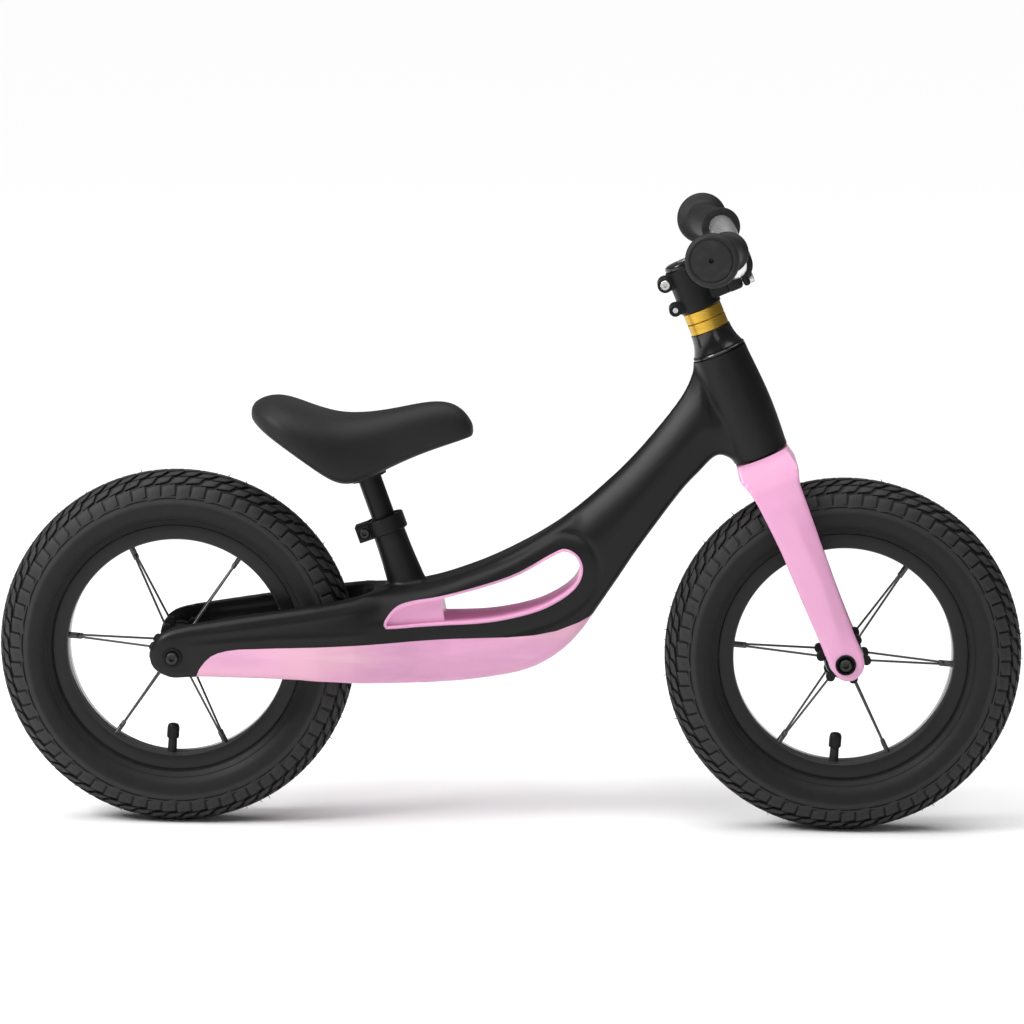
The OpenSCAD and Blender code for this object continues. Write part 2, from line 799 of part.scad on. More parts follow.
frame();
upper_bearing();
lower_bearing();
seat_clamp();
seat_clamp_bolt();
rear_axle();
rear_axle_bolts();
rear_axle_washers();
seat_post();
saddle_base();
saddle_pad();
saddle_bolt();
fork();
steerer();
crown_race();
compression_ring();
headset_cover();
lower_spacer();
upper_spacer();
stem();
stem_faceplate();
stem_clamp_bolts();
faceplate_bolts();
top_cap();
top_cap_bolt();
star_nut();
handlebar();
grip_right();
grip_left();
front_axle();
front_axle_bolts();
front_axle_washers();
rear_tyre();
rear_inner_tube();
rear_rim_tape();
rear_rim();
rear_spokes();
rear_nipples();
rear_hub();
rear_hub_bearings();
rear_valve();
rear_valve_cap();
front_tyre();
front_inner_tube();
front_rim_tape();
front_rim();
front_spokes();
front_nipples();
front_hub();
front_hub_bearings();
front_valve();
front_valve_cap();
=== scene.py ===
"""Child's balance bike: every visible piece, its finish, the studio and the camera."""

import math
import random

import bmesh
import bpy
import numpy as np
from mathutils import Matrix, Vector


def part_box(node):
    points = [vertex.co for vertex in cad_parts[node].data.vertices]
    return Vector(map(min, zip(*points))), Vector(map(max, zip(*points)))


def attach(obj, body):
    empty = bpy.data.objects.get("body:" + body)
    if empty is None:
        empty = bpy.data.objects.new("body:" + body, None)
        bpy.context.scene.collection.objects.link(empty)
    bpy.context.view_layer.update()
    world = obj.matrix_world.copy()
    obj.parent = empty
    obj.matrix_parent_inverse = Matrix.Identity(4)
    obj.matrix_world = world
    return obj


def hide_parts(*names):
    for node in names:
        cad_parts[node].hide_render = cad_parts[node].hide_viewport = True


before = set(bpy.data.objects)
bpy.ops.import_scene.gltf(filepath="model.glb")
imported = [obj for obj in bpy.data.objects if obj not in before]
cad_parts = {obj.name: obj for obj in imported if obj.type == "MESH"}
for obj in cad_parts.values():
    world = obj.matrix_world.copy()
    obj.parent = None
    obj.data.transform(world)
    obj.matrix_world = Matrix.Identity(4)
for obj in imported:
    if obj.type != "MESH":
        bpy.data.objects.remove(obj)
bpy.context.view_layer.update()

MM = 0.001
QUARTER = math.radians(90)

# ------------------------------------------------------------------ places, from the frame


def centre(node):
    low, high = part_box(node)
    return (Vector(low) + Vector(high)) / 2


def in_mm(place):
    """The same placing, for a part that is still in millimetres."""
    return Matrix.Translation(place.to_translation() / MM) @ place.to_3x3().to_4x4()


REAR_HUB = centre("rear_rim")
FRONT_HUB = centre("front_rim")
HEAD_ANGLE = math.radians(23)
SEAT_ANGLE = math.radians(20)
SEAT_FOOT = Vector((-93.3, 0, 222)) * MM

# Placings for a part that is in the bike's own place, or made about local Z and then turned.
AS_MADE = Matrix.Identity(4)
ACROSS = Matrix.Rotation(QUARTER, 4, "X")
ACROSS_BACK = Matrix.Rotation(-QUARTER, 4, "X")
FORWARD = Matrix.Rotation(QUARTER, 4, "Y")

REAR_WHEEL = Matrix.Translation(REAR_HUB) @ ACROSS
FRONT_WHEEL = Matrix.Translation(FRONT_HUB) @ ACROSS
STEERING = Matrix.Translation(FRONT_HUB) @ Matrix.Rotation(-HEAD_ANGLE, 4, "Y")
SEAT = Matrix.Translation(SEAT_FOOT) @ Matrix.Rotation(-SEAT_ANGLE, 4, "Y")
STEERING_MM = in_mm(STEERING)
SEAT_MM = in_mm(SEAT)

# ------------------------------------------------------------------ sizes that parts share, in mm

SECTION_CENTRE_R = 127.5
TYRE_SECTION_R = 27.5
RIM_INSIDE_R = 95.0
BAR_R = 11.1
POST_BORE_R = 10.4
POST_BORE_FOOT = -82
AXLE_BORE_R = 3.2
HEAD_FOOT = 191
HEAD_TOP = 285.5

# ------------------------------------------------------------------ shader writing


class Value:
    """A node socket that takes part in arithmetic."""

    def __init__(self, finish, socket):
        self.finish = finish
        self.socket = socket

    def maths(self, operation, *others):
        return self.finish.node("ShaderNodeMath", {"operation": operation}, {
            i: v for i, v in enumerate((self, *others))
        })

    def __add__(self, other):
        return self.maths("ADD", other)

    def __sub__(self, other):
        return self.maths("SUBTRACT", other)

    def __rsub__(self, other):
        return self.maths("MULTIPLY_ADD", -1.0, other)

    def __mul__(self, other):
        return self.maths("MULTIPLY", other)

    __radd__ = __add__
    __rmul__ = __mul__

    def above(self, low, high):
        """0 below low, 1 above high, and smooth between."""
        return self.finish.node(
            "ShaderNodeMapRange", {"interpolation_type": "SMOOTHSTEP"}, {0: self, 1: low, 2: high}
        )


class Finish:
    """One material, with its Principled shader and the few patterns that the pieces share."""

    def __init__(self, name, colour, roughness, metallic=0.0, coat=0.0, coat_roughness=0.1,
                 specular=0.5, sheen=0.0):
        self.material = bpy.data.materials.new(name)
        self.material.use_nodes = True
        self.tree = self.material.node_tree
        self.shader = self.tree.nodes["Principled BSDF"]
        self.set("Base Color", (*colour, 1))
        self.set("Roughness", roughness)
        self.set("Metallic", metallic)
        self.set("Coat Weight", coat)
        self.set("Coat Roughness", coat_roughness)
        self.set("Specular IOR Level", specular)
        self.set("Sheen Weight", sheen)
        self.colour = colour
        self.place = self.node("ShaderNodeTexCoord", {}, {}, "Object")

    def node(self, kind, settings=None, inputs=None, output=0):
        made = self.tree.nodes.new(kind)
        for key, value in (settings or {}).items():
            setattr(made, key, value)
        for key, value in (inputs or {}).items():
            self.join(made.inputs[key], value)
        return Value(self, made.outputs[output])

    def join(self, socket, value):
        if isinstance(value, Value):
            self.tree.links.new(value.socket, socket)
        else:
            socket.default_value = value

    def set(self, name, value):
        self.join(self.shader.inputs[name], value)

    def axis(self, letter):
        return self.node("ShaderNodeSeparateXYZ", {}, {0: self.place}, letter)

    def moved(self, offset=(0, 0, 0), turn=(0, 0, 0), stretch=(1, 1, 1)):
        return self.node("ShaderNodeMapping", {"vector_type": "POINT"}, {
            "Vector": self.place, "Location": offset, "Rotation": turn, "Scale": stretch,
        })

    def noise(self, size, detail=3.0, rough=0.5, place=None):
        """Cloudy pattern whose blotches are about size metres across, from 0 to 1."""
        return self.node("ShaderNodeTexNoise", {}, {
            "Vector": place or self.place, "Scale": 1 / size, "Detail": detail,
            "Roughness": rough,
        })

    def grain(self, size):
        """Distance to the nearest cell edge, for moulded skins."""
        return self.node("ShaderNodeTexVoronoi", {"feature": "DISTANCE_TO_EDGE"}, {
            "Vector": self.place, "Scale": 1 / size,
        })

    def mix(self, factor, a, b):
        """Colour a where factor is 0, and b where it is 1."""
        made = self.tree.nodes.new("ShaderNodeMix")
        made.data_type = "RGBA"
        self.join(made.inputs["Factor"], factor)
        for socket, colour in ((made.inputs[6], a), (made.inputs[7], b)):
            self.join(socket, colour if isinstance(colour, Value) else (*colour, 1))
        return Value(self, made.outputs[2])

    def bump(self, height, depth, strength=1.0, under=None):
        made = {"Height": height, "Distance": depth, "Strength": strength}
        if under is not None:
            made["Normal"] = under
        return self.node("ShaderNodeBump", {}, made)


def shade(colour, factor):
    return tuple(c * factor for c in colour)


# ------------------------------------------------------------------ finishes


def make_cast_black():
    """Satin powder coat with a faint orange peel."""
    f = Finish("cast_black", (0.0040, 0.0038, 0.0042), 0.40, specular=0.24)
    clouds = f.noise(0.09, 4.0)
    speckle = f.noise(0.0012, 2.0)
    f.set("Base Color", f.mix(clouds.above(0.35, 0.7), f.colour, (0.0052, 0.0049, 0.0052)))
    f.set("Roughness", 0.36 + 0.08 * clouds + 0.06 * speckle)
    skin = f.bump(speckle, 0.00005)
    f.set("Normal", f.bump(f.noise(0.006, 2.0), 0.00010, 0.6, skin))
    return f


def make_cast_pink(name, mottle=0.0, colour=(0.70, 0.335, 0.535)):
    """Satin paint. Mottle adds the uneven warm and pale patches of the frame's underside."""
    f = Finish(name, colour, 0.38, coat=0.2, coat_roughness=0.22, specular=0.4)
    clouds = f.noise(0.05, 4.0, 0.55, f.moved(stretch=(0.55, 1, 1.3)))
    warm = f.noise(0.075, 3.0, 0.5, f.moved(offset=(0.4, 0.1, 0.2), stretch=(0.5, 1, 1.5)))
    streaks = f.noise(0.012, 4.0, 0.6, f.moved(stretch=(0.06, 0.5, 1.2)))
    deep = f.mix(clouds.above(0.36, 0.66), colour, shade(colour, 0.97 - 0.16 * mottle))
    worn = f.mix(warm.above(0.42, 0.68) * (0.06 + 0.94 * mottle), deep, (0.71, 0.415, 0.475))
    f.set("Base Color", f.mix(streaks.above(0.5, 0.75) * 0.5 * mottle, worn,
                              (0.80, 0.50, 0.60)))
    f.set("Roughness", 0.34 + 0.10 * clouds)
    f.set("Normal", f.bump(f.noise(0.0016, 2.0), 0.00004, 0.7))
    return f


def make_alloy_black():
    """Bead-blasted, anodised alloy."""
    f = Finish("alloy_black", (0.0045, 0.0045, 0.005), 0.34, metallic=0.1, specular=0.2)
    clouds = f.noise(0.02, 3.0)
    f.set("Roughness", 0.32 + 0.12 * clouds)
    f.set("Base Color", f.mix(clouds, (0.004, 0.004, 0.0045), (0.006, 0.006, 0.0065)))
    f.set("Normal", f.bump(f.noise(0.0007, 2.0), 0.00004, 0.8))
    return f


def make_gloss_black():
    f = Finish("gloss_black", (0.006, 0.006, 0.0062), 0.22, coat=0.3, coat_roughness=0.12,
               specular=0.4)
    smear = f.noise(0.012, 4.0)
    f.set("Roughness", 0.18 + 0.14 * smear.above(0.4, 0.75))
    return f


def make_moulded_black():
    f = Finish("moulded_black", (0.006, 0.006, 0.0065), 0.5, specular=0.2)
    clouds = f.noise(0.01, 3.0)
    f.set("Roughness", 0.46 + 0.12 * clouds)
    f.set("Base Color", f.mix(clouds, (0.0055, 0.0055, 0.006), (0.008, 0.0078, 0.008)))
    f.set("Normal", f.bump(f.grain(0.0009), 0.00005, 0.7))
    return f


def make_steel_dark():
    f = Finish("steel_dark", (0.028, 0.027, 0.027), 0.38, metallic=0.75)
    f.set("Roughness", 0.26 + 0.18 * f.noise(0.004, 3.0))
    f.set("Base Color", f.mix(f.noise(0.003, 3.0), (0.020, 0.0195, 0.019), (0.042, 0.041, 0.040)))
    return f


def make_steel_bright():
    f = Finish("steel_bright", (0.60, 0.59, 0.57), 0.28, metallic=0.9)
    wear = f.noise(0.002, 3.0)
    f.set("Roughness", 0.22 + 0.16 * wear)
    f.set("Base Color", f.mix(wear, (0.50, 0.49, 0.47), (0.68, 0.67, 0.65)))
    return f


def make_steel_spoke():
    f = Finish("steel_spoke", (0.07, 0.067, 0.063), 0.34, metallic=0.85)
    f.set("Roughness", 0.28 + 0.14 * f.noise(0.003, 2.0))
    f.set("Base Color", f.mix(f.noise(0.004, 3.0), (0.055, 0.053, 0.05), (0.10, 0.096, 0.09)))
    return f


def make_bar_chrome():
    """Satin chrome, drawn along the tube. Its light, partly non-metallic colour is a painted
    reflection of a bright studio.
    """
    # painted reflection: a light base colour and metallic below 1 keep the bar bright, as if it
    # mirrored a white studio
    f = Finish("bar_chrome", (0.74, 0.74, 0.74), 0.24, metallic=0.85)
    drawn = f.noise(0.0008, 3.0, 0.6, f.moved(stretch=(1, 0.06, 1)))
    f.set("Roughness", 0.18 + 0.14 * drawn)
    f.set("Base Color", f.mix(f.noise(0.03), (0.68, 0.68, 0.675), (0.80, 0.80, 0.80)))
    return f


def make_gold():
    """Anodised rings with fine lines from the lathe."""
    f = Finish("gold_anodised", (0.70, 0.44, 0.07), 0.28, metallic=0.85)
    along = f.moved(turn=(0, HEAD_ANGLE, 0), stretch=(0.03, 0.03, 1))
    lines = f.noise(0.0005, 2.0, 0.6, along)
    f.set("Roughness", 0.22 + 0.16 * lines)
    f.set("Base Color", f.mix(lines.above(0.35, 0.7), (0.48, 0.28, 0.03), (0.66, 0.43, 0.07)))
    f.set("Normal", f.bump(lines, 0.00002, 0.5))
    return f


def make_saddle_skin():
    """Moulded foam skin with fine pores."""
    f = Finish("saddle_skin", (0.0062, 0.0060, 0.0062), 0.50, specular=0.26, sheen=0.03)
    cells = f.grain(0.0013)
    clouds = f.noise(0.05, 3.0)
    f.set("Base Color", f.mix(clouds.above(0.35, 0.7), f.colour, (0.0082, 0.0080, 0.0080)))
    f.set("Roughness", 0.48 + 0.12 * clouds)
    pores = f.bump(cells.above(0.0, 0.25), 0.00008, 0.6)
    f.set("Normal", f.bump(f.noise(0.0007, 2.0), 0.00004, 0.5, pores))
    return f


def make_grip_rubber():
    f = Finish("grip_rubber", (0.0110, 0.0105, 0.0105), 0.60, specular=0.28)
    dust = f.noise(0.008, 3.0)
    f.set("Roughness", 0.52 + 0.14 * dust)
    f.set("Base Color", f.mix(dust.above(0.45, 0.8), f.colour, (0.020, 0.019, 0.0185)))
    f.set("Normal", f.bump(f.noise(0.0006, 2.0), 0.00006, 0.7))
    return f


def wheel_radius(f, hub):
    """Distance from the wheel's axle, on a pattern centred on its hub."""
    place = f.moved(offset=tuple(-hub))
    away = f.node("ShaderNodeVectorMath", {"operation": "MULTIPLY"}, {0: place, 1: (1, 0, 1)})
    return f.node("ShaderNodeVectorMath", {"operation": "LENGTH"}, {0: away}, "Value")


def make_tyre_rubber(name, hub):
    """Block tops painted lighter, a painted highlight mottled by dust; black in the grooves and on
    the sidewall.
    """
    f = Finish(name, (0.0065, 0.0062, 0.0065), 0.56, specular=0.25, sheen=0.02)
    out = wheel_radius(f, hub) - SECTION_CENTRE_R * MM
    side = f.axis("Y")
    height = f.node("ShaderNodeMath", {"operation": "SQRT"}, {0: out * out + side * side})
    dust = f.noise(0.010, 4.0)
    tread = height.above(0.0256, 0.0271) * out.above(-0.001, 0.003)
    rubber = f.mix(dust.above(0.45, 0.8), f.colour, (0.0095, 0.0090, 0.0090))
    # painted highlight: the tread mask lightens the raised block tops all round the tyre, patchy
    # with the dust
    f.set("Base Color", f.mix(tread * (0.55 + 0.45 * dust), rubber, (0.030, 0.0288, 0.0285)))
    f.set("Roughness", 0.50 + 0.14 * dust + 0.08 * tread)
    f.set("Normal", f.bump(f.noise(0.0010, 3.0), 0.00012, 0.8))
    return f


def make_rim_black(name, hub):
    """Anodised rim: satin sides, and a smooth, mirror-like inner face whose lighter grey is a
    painted reflection.
    """
    f = Finish(name, (0.0075, 0.0075, 0.008), 0.34, metallic=0.1, specular=0.3)
    radius = wheel_radius(f, hub)
    side = radius.above(0.0954, 0.0966)
    clouds = f.noise(0.02, 3.0)
    f.set("Roughness", 0.12 + side * (0.20 + 0.12 * clouds))
    # painted reflection: where side is 0, on the inner face, the black turns a lighter grey
    f.set("Base Color", f.mix(side, (0.04, 0.04, 0.042), (0.0070, 0.0070, 0.0075)))
    f.set("Normal", f.bump(f.noise(0.0008, 2.0), 0.00003, 0.7))
    return f


def make_bearing_steel():
    f = Finish("bearing_steel", (0.50, 0.50, 0.51), 0.25, metallic=1.0)
    f.set("Roughness", 0.2 + 0.12 * f.noise(0.002, 2.0))
    return f


def make_rim_tape():
    f = Finish("rim_tape", (0.22, 0.03, 0.045), 0.5)
    f.set("Roughness", 0.45 + 0.15 * f.noise(0.004, 2.0))
    return f


FINISHES = {
    "cast_black": make_cast_black(),
    "cast_pink": make_cast_pink("cast_pink"),
    "belly_pink": make_cast_pink("belly_pink", mottle=0.6),
    # painted light: the window's pink is a lighter copy of cast_pink, standing in for light the
    # deep walls don't get
    "liner_pink_painted_light": make_cast_pink("liner_pink_painted_light", colour=(0.80, 0.39, 0.62)),
    "alloy_black": make_alloy_black(),
    "gloss_black": make_gloss_black(),
    "moulded_black": make_moulded_black(),
    "steel_dark": make_steel_dark(),
    "steel_bright": make_steel_bright(),
    "steel_spoke": make_steel_spoke(),
    "bar_chrome": make_bar_chrome(),
    "gold": make_gold(),
    "saddle_skin": make_saddle_skin(),
    "grip_rubber": make_grip_rubber(),
    "rear_tyre_rubber": make_tyre_rubber("rear_tyre_rubber", REAR_HUB),
    "front_tyre_rubber": make_tyre_rubber("front_tyre_rubber", FRONT_HUB),
    "rear_rim_black": make_rim_black("rear_rim_black", REAR_HUB),
    "front_rim_black": make_rim_black("front_rim_black", FRONT_HUB),
    "bearing_steel": make_bearing_steel(),
    "rim_tape": make_rim_tape(),
}

# ------------------------------------------------------------------ mesh helpers


def put(name, bm, finish, body, place, replaces, smooth=35.0):
    """Turns a bmesh, in millimetres in its own place, into a finished piece on a body.

    Edges that turn more than smooth degrees stay crisp, and None smooths them all."""
    bm.transform(place @ Matrix.Scale(MM, 4))
    bmesh.ops.recalc_face_normals(bm, faces=bm.faces[:])
    mesh = bpy.data.meshes.new(name)
    bm.to_mesh(mesh)
    bm.free()
    piece = bpy.data.objects.new(name, mesh)
    bpy.context.collection.objects.link(piece)
    mesh.materials.append(FINISHES[finish].material)
    mesh.shade_smooth()
    if smooth is not None:
        mesh.set_sharp_from_angle(angle=math.radians(smooth))
    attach(piece, body)
    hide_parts(*replaces)
    return piece


def scratch(name, bm):
    """A loose object for a modifier to work on."""
    mesh = bpy.data.meshes.new(name)
    bm.to_mesh(mesh)
    bm.free()
    made = bpy.data.objects.new(name, mesh)
    bpy.context.collection.objects.link(made)
    return made


def worked(bm, steps, others=()):
    """Runs modifiers on a bmesh and gives the new bmesh. A step is a type and its settings."""
    made = scratch("work", bm)
    for kind, settings in steps:
        modifier = made.modifiers.new(kind.lower(), kind)
        for key, value in settings.items():
            setattr(modifier, key, value)
    result = bmesh.new()
    result.from_object(made, bpy.context.evaluated_depsgraph_get())
    for old in (made, *others):
        mesh = old.data
        bpy.data.objects.remove(old)
        bpy.data.meshes.remove(mesh)
    return result


def combined(bm, other_bm, operation):
    bmesh.ops.recalc_face_normals(other_bm, faces=other_bm.faces[:])
    other = scratch("tool", other_bm)
    step = ("BOOLEAN", {"operation": operation, "solver": "EXACT", "object": other})
    return worked(bm, [step], [other])


def cut(bm, *tools):
    for tool in tools:
        bm = combined(bm, tool, "DIFFERENCE")
    return bm


def lathe(profile, steps=96, closed=False):
    """Spins (radius, height) points about local Z."""
    bm = bmesh.new()
    dots = [bm.verts.new((r, 0, h)) for r, h in profile]
    pairs = list(zip(dots, dots[1:]))
    if closed:
        pairs.append((dots[-1], dots[0]))
    edges = [bm.edges.new(pair) for pair in pairs]
    bmesh.ops.spin(bm, geom=dots + edges, axis=(0, 0, 1), cent=(0, 0, 0), dvec=(0, 0, 0),
                   angle=math.tau, steps=steps, use_merge=True, use_duplicate=False)
    bmesh.ops.remove_doubles(bm, verts=bm.verts[:], dist=1e-4)
    bmesh.ops.recalc_face_normals(bm, faces=bm.faces[:])
    return bm


def plug(radius, low, high, steps):
    """Plain round bar about local Z, to cut a bore with."""
    return lathe([(0, low), (radius, low), (radius, high), (0, high)], steps)


def extruded(outline, low, high, lift):
    """Extrudes a closed outline, whose points lift() places at a depth, from low to high."""
    bm = bmesh.new()
    face = bm.faces.new([bm.verts.new(lift(p, low)) for p in outline])
    grown = bmesh.ops.extrude_face_region(bm, geom=[face])
    shift = lift((0, 0), high) - lift((0, 0), low)
    new_verts = [v for v in grown["geom"] if isinstance(v, bmesh.types.BMVert)]
    bmesh.ops.translate(bm, verts=new_verts, vec=shift)
    bmesh.ops.recalc_face_normals(bm, faces=bm.faces[:])
    return bm


def seen_from_side(p, depth):
    return Vector((p[0], depth, p[1]))


def seen_from_front(p, depth):
    return Vector((depth, p[0], p[1]))


def seen_from_above(p, depth):
    return Vector((p[0], p[1], depth))


def merged(*parts):
    """Joins bmeshes into the first."""
    whole = parts[0]
    for part in parts[1:]:
        mesh = bpy.data.meshes.new("part")
        part.to_mesh(mesh)
        part.free()
        whole.from_mesh(mesh)
        bpy.data.meshes.remove(mesh)
    return whole


def moved(bm, place):
    bm.transform(place)
    return bm


def at(bm, x, y, z):
    return moved(bm, Matrix.Translation((x, y, z)))


def box_part(low, high, bevel=0.0, segments=3):
    low, high = Vector(low), Vector(high)
    bm = bmesh.new()
    size = Matrix.Diagonal((*(high - low), 1))
    bmesh.ops.create_cube(bm, size=1, matrix=Matrix.Translation((low + high) / 2) @ size)
    return rounded(bm, bevel, segments, bm.edges[:]) if bevel else bm


def rounded(bm, bevel, segments, edges):
    bmesh.ops.bevel(bm, geom=edges, offset=bevel, offset_type="OFFSET", segments=segments,
                    profile=0.5, affect="EDGES", clamp_overlap=True, material=-1)
    return bm


def kept_behind(bm, point, normal):
    """Cuts off what lies on the normal's side of a plane and closes the cut."""
    bmesh.ops.bisect_plane(bm, geom=bm.verts[:] + bm.edges[:] + bm.faces[:], dist=1e-4,
                           plane_co=point, plane_no=normal, clear_outer=True)
    bmesh.ops.holes_fill(bm, edges=[e for e in bm.edges if e.is_boundary], sides=0)
    bmesh.ops.recalc_face_normals(bm, faces=bm.faces[:])
    return bm


def through(points, steps):
    """Catmull-Rom curve round a closed list of points, with steps points to each span."""
    curve = []
    count = len(points)
    for i in range(count):
        a, b, c, d = (Vector(points[(i + k - 1) % count]) for k in range(4))
        for k in range(steps):
            t = k / steps
            curve.append(0.5 * (2 * b + (c - a) * t + (2 * a - 5 * b + 4 * c - d) * t * t
                                + (3 * b - a - 3 * c + d) * t ** 3))
    return curve


def grown_outline(outline, distance):
    """Moves a closed outline outwards along its normals."""
    area = sum(a[0] * b[1] - b[0] * a[1] for a, b in zip(outline, outline[1:] + outline[:1]))
    turn = 1 if area > 0 else -1
    result = []
    for i, point in enumerate(outline):
        run = Vector(outline[(i + 1) % len(outline)]) - Vector(outline[i - 1])
        out = Vector((run.y, -run.x)).normalized() * turn
        result.append(Vector(point) + out * distance)
    away = distance_to(*np.array([tuple(p) for p in result]).T, outline, True)
    return [p for p, gap in zip(result, away) if gap > abs(distance) - 0.05]


def distance_to(x, z, line, closed=False):
    """Shortest distance from arrays of points to a polyline."""
    pts = np.array([tuple(p) for p in line])
    starts, ends = (pts, np.roll(pts, -1, 0)) if closed else (pts[:-1], pts[1:])
    best = np.full(x.shape, 1e9)
    for (ax, az), (bx, bz) in zip(starts, ends):
        dx, dz = bx - ax, bz - az
        t = np.clip(((x - ax) * dx + (z - az) * dz) / (dx * dx + dz * dz), 0, 1)
        best = np.minimum(best, np.hypot(x - ax - t * dx, z - az - t * dz))
    return best


def coordinates(bm):
    return np.array([v.co[:] for v in bm.verts])


def set_coordinates(bm, co):
    for vert, place in zip(bm.verts, co.tolist()):
        vert.co = place


# ------------------------------------------------------------------ the cast frame

FRAME_SIDE = [
    (-310, 155), (-306, 168), (-291, 179.5), (-240, 189), (-164, 201), (-103, 211.5),
    (-61, 219), (-9.5, 239), (42, 270), (93, 315), (127, 354), (147, 382), (154.5, 400),
    (158, 410), (190, 372), (208, 330), (196, 322), (187, 327), (176, 329), (162, 315),
    (145, 296), (111, 249), (94, 223), (76, 196), (61, 174), (43, 156), (20, 142.6),
    (-10, 135), (-60, 129.7), (-117, 131.2), (-200, 136), (-270, 136.8), (-290, 135.8),
    (-305, 143),
]
UPPER_POINTS = 14
FRAME_WIDTH_X = (-312, -165, -132, -105, -80, -52, 8, 62, 110, 160, 215)
FRAME_WIDTH_Y = (60, 59.5, 55, 47.5, 39.5, 34, 29, 26, 23, 19.5, 17)
SLOT_PLAN = [
    (-330, 48.5), (-272, 48.5), (-250, 46.5), (-160, 43), (-140, 39), (-128, 31),
    (-121, 18), (-119, 6), (-119, -6), (-121, -18), (-128, -31), (-140, -39), (-160, -43),
    (-250, -46.5), (-272, -48.5), (-330, -48.5),
]
WINDOW_SIDE = [
    (-107, 181), (-107.5, 187), (-99, 197.5), (-86, 202.5), (-52, 209), (0, 225),
    (34, 243.5), (47, 248.5), (58.5, 242), (62.5, 229), (56.5, 214.5), (40, 201.5),
    (17, 191.5), (-20, 183.8), (-69, 181.2), (-101, 180),
]
BELLY_LINE = [
    (-270, 134), (-268.5, 138.5), (-266, 145), (-261, 151.8), (-256, 156.4), (-250, 159.4),
    (-242, 161.6), (-232, 163), (-200, 164.4), (-117, 167.2), (-60, 169.6), (-2, 171),
    (21, 173), (40, 176.5), (59, 183.6), (73, 190.8), (84, 195.4), (84, 120), (-270, 120),
]
SLAB_HALF = 60.0
SPAN_STEPS = 4
LINER_STEPS = 5
LINER_WALL = 2.4
SLOT_FRONT_X = -119
SEAT_TUBE_X = -108
SLAB_VOXEL = 2.4
CASTING_VOXEL = 1.9


def frame_half_width(x):
    return np.interp(x, FRAME_WIDTH_X, FRAME_WIDTH_Y)


def rounded_edge(depth, radius):
    """How far a rounded edge falls below its face, at a distance in from the edge."""
    inside = np.clip(radius - depth, 0, radius)
    return radius - np.sqrt(np.maximum(radius * radius - inside * inside, 0))


def shape_casting(bm):
    """Bows the flat slab into the casting: plan taper, round top, tucked-in lower edge."""
    co = coordinates(bm)
    x, y, z = co.T
    outline = through(FRAME_SIDE, SPAN_STEPS)
    split = UPPER_POINTS * SPAN_STEPS
    top = distance_to(x, z, outline[:split])
    foot = distance_to(x, z, outline[split + 8:])
    front = np.clip((x - SLOT_FRONT_X) / 60, 0, 1)
    slot = np.where(x < SLOT_FRONT_X, 0.8, 0.0)
    half = frame_half_width(x)
    saddle_side = np.exp(-((x - SEAT_TUBE_X) / 34) ** 2)
    tube = np.clip((x - 10) / 50, 0, 1)
    fall = rounded_edge(top, 9 + 7 * front - 11 * tube) * (0.8 + 0.2 * front)
    fall += np.clip(35 - top, 0, 35) ** 2 / 66 * tube
    tuck = 0.35 + 0.65 * front + 0.2 * saddle_side
    fall += np.clip(24 - top, 0, 24) * 0.95 * saddle_side * tuck
    fall += rounded_edge(foot, 5 + 2 * front)
    fall += np.clip(26 - foot, 0, 26) * (0.10 + 0.12 * front)
    fall = np.minimum(fall, half - 3)
    share = np.clip((np.abs(y) / SLAB_HALF - slot) / (1 - slot), 0, 1)
    new_y = np.abs(y) / SLAB_HALF * half - fall * share
    co[:, 1] = np.sign(y) * new_y
    set_coordinates(bm, co)


def flute_casting(bm):
    """Adds the groove round the window's rim band and the two raised lines on the stays."""
    co = coordinates(bm)
    x, y, z = co.T
    window = through(WINDOW_SIDE, SPAN_STEPS)
    rim = distance_to(x, z, window, True)
    half = frame_half_width(x)
    outer = np.clip((np.abs(y) - 0.60 * half) / (0.2 * half), 0, 1)
    clear = np.clip((x + 90) / 90, 0, 1) * np.clip((118 - x) / 40, 0, 1)
    groove = 1.5 * np.exp(-((rim - 13.5) / 2.6) ** 2) * clear
    band = 0.9 * np.clip(1 - (rim - 3) / 9, 0, 1) * clear
    behind = np.clip((-112 - x) / 30, 0, 1) * np.clip((x + 285) / 40, 0, 1)
    upper = np.interp(x, (-300, -200, -110), (170, 184, 199))
    lower = np.interp(x, (-300, -200, -110), (163, 172, 176))
    lines = 0.9 * (np.exp(-((z - upper) / 2.4) ** 2) + np.exp(-((z - lower) / 2.2) ** 2)) * behind
    co[:, 1] += np.sign(y) * outer * (lines + 0.6 * band - groove)
    set_coordinates(bm, co)


def head_tube_form():
    profile = [(0, 186), (24.3, 186), (24.6, 196), (25.3, 206), (25.9, 218), (26.2, 230),
               (26.0, 242), (25.4, 254), (24.6, 266), (23.8, 277), (23.4, 291), (0, 291)]
    return moved(lathe(profile, 64), STEERING_MM)


def seat_tube_form():
    profile = [(0, -40), (17, -40), (16.4, -8), (15.6, 4), (14.9, 14), (14.4, 26), (14.2, 38),
               (14.2, 52), (0, 52)]
    return moved(lathe(profile, 64), SEAT_MM)


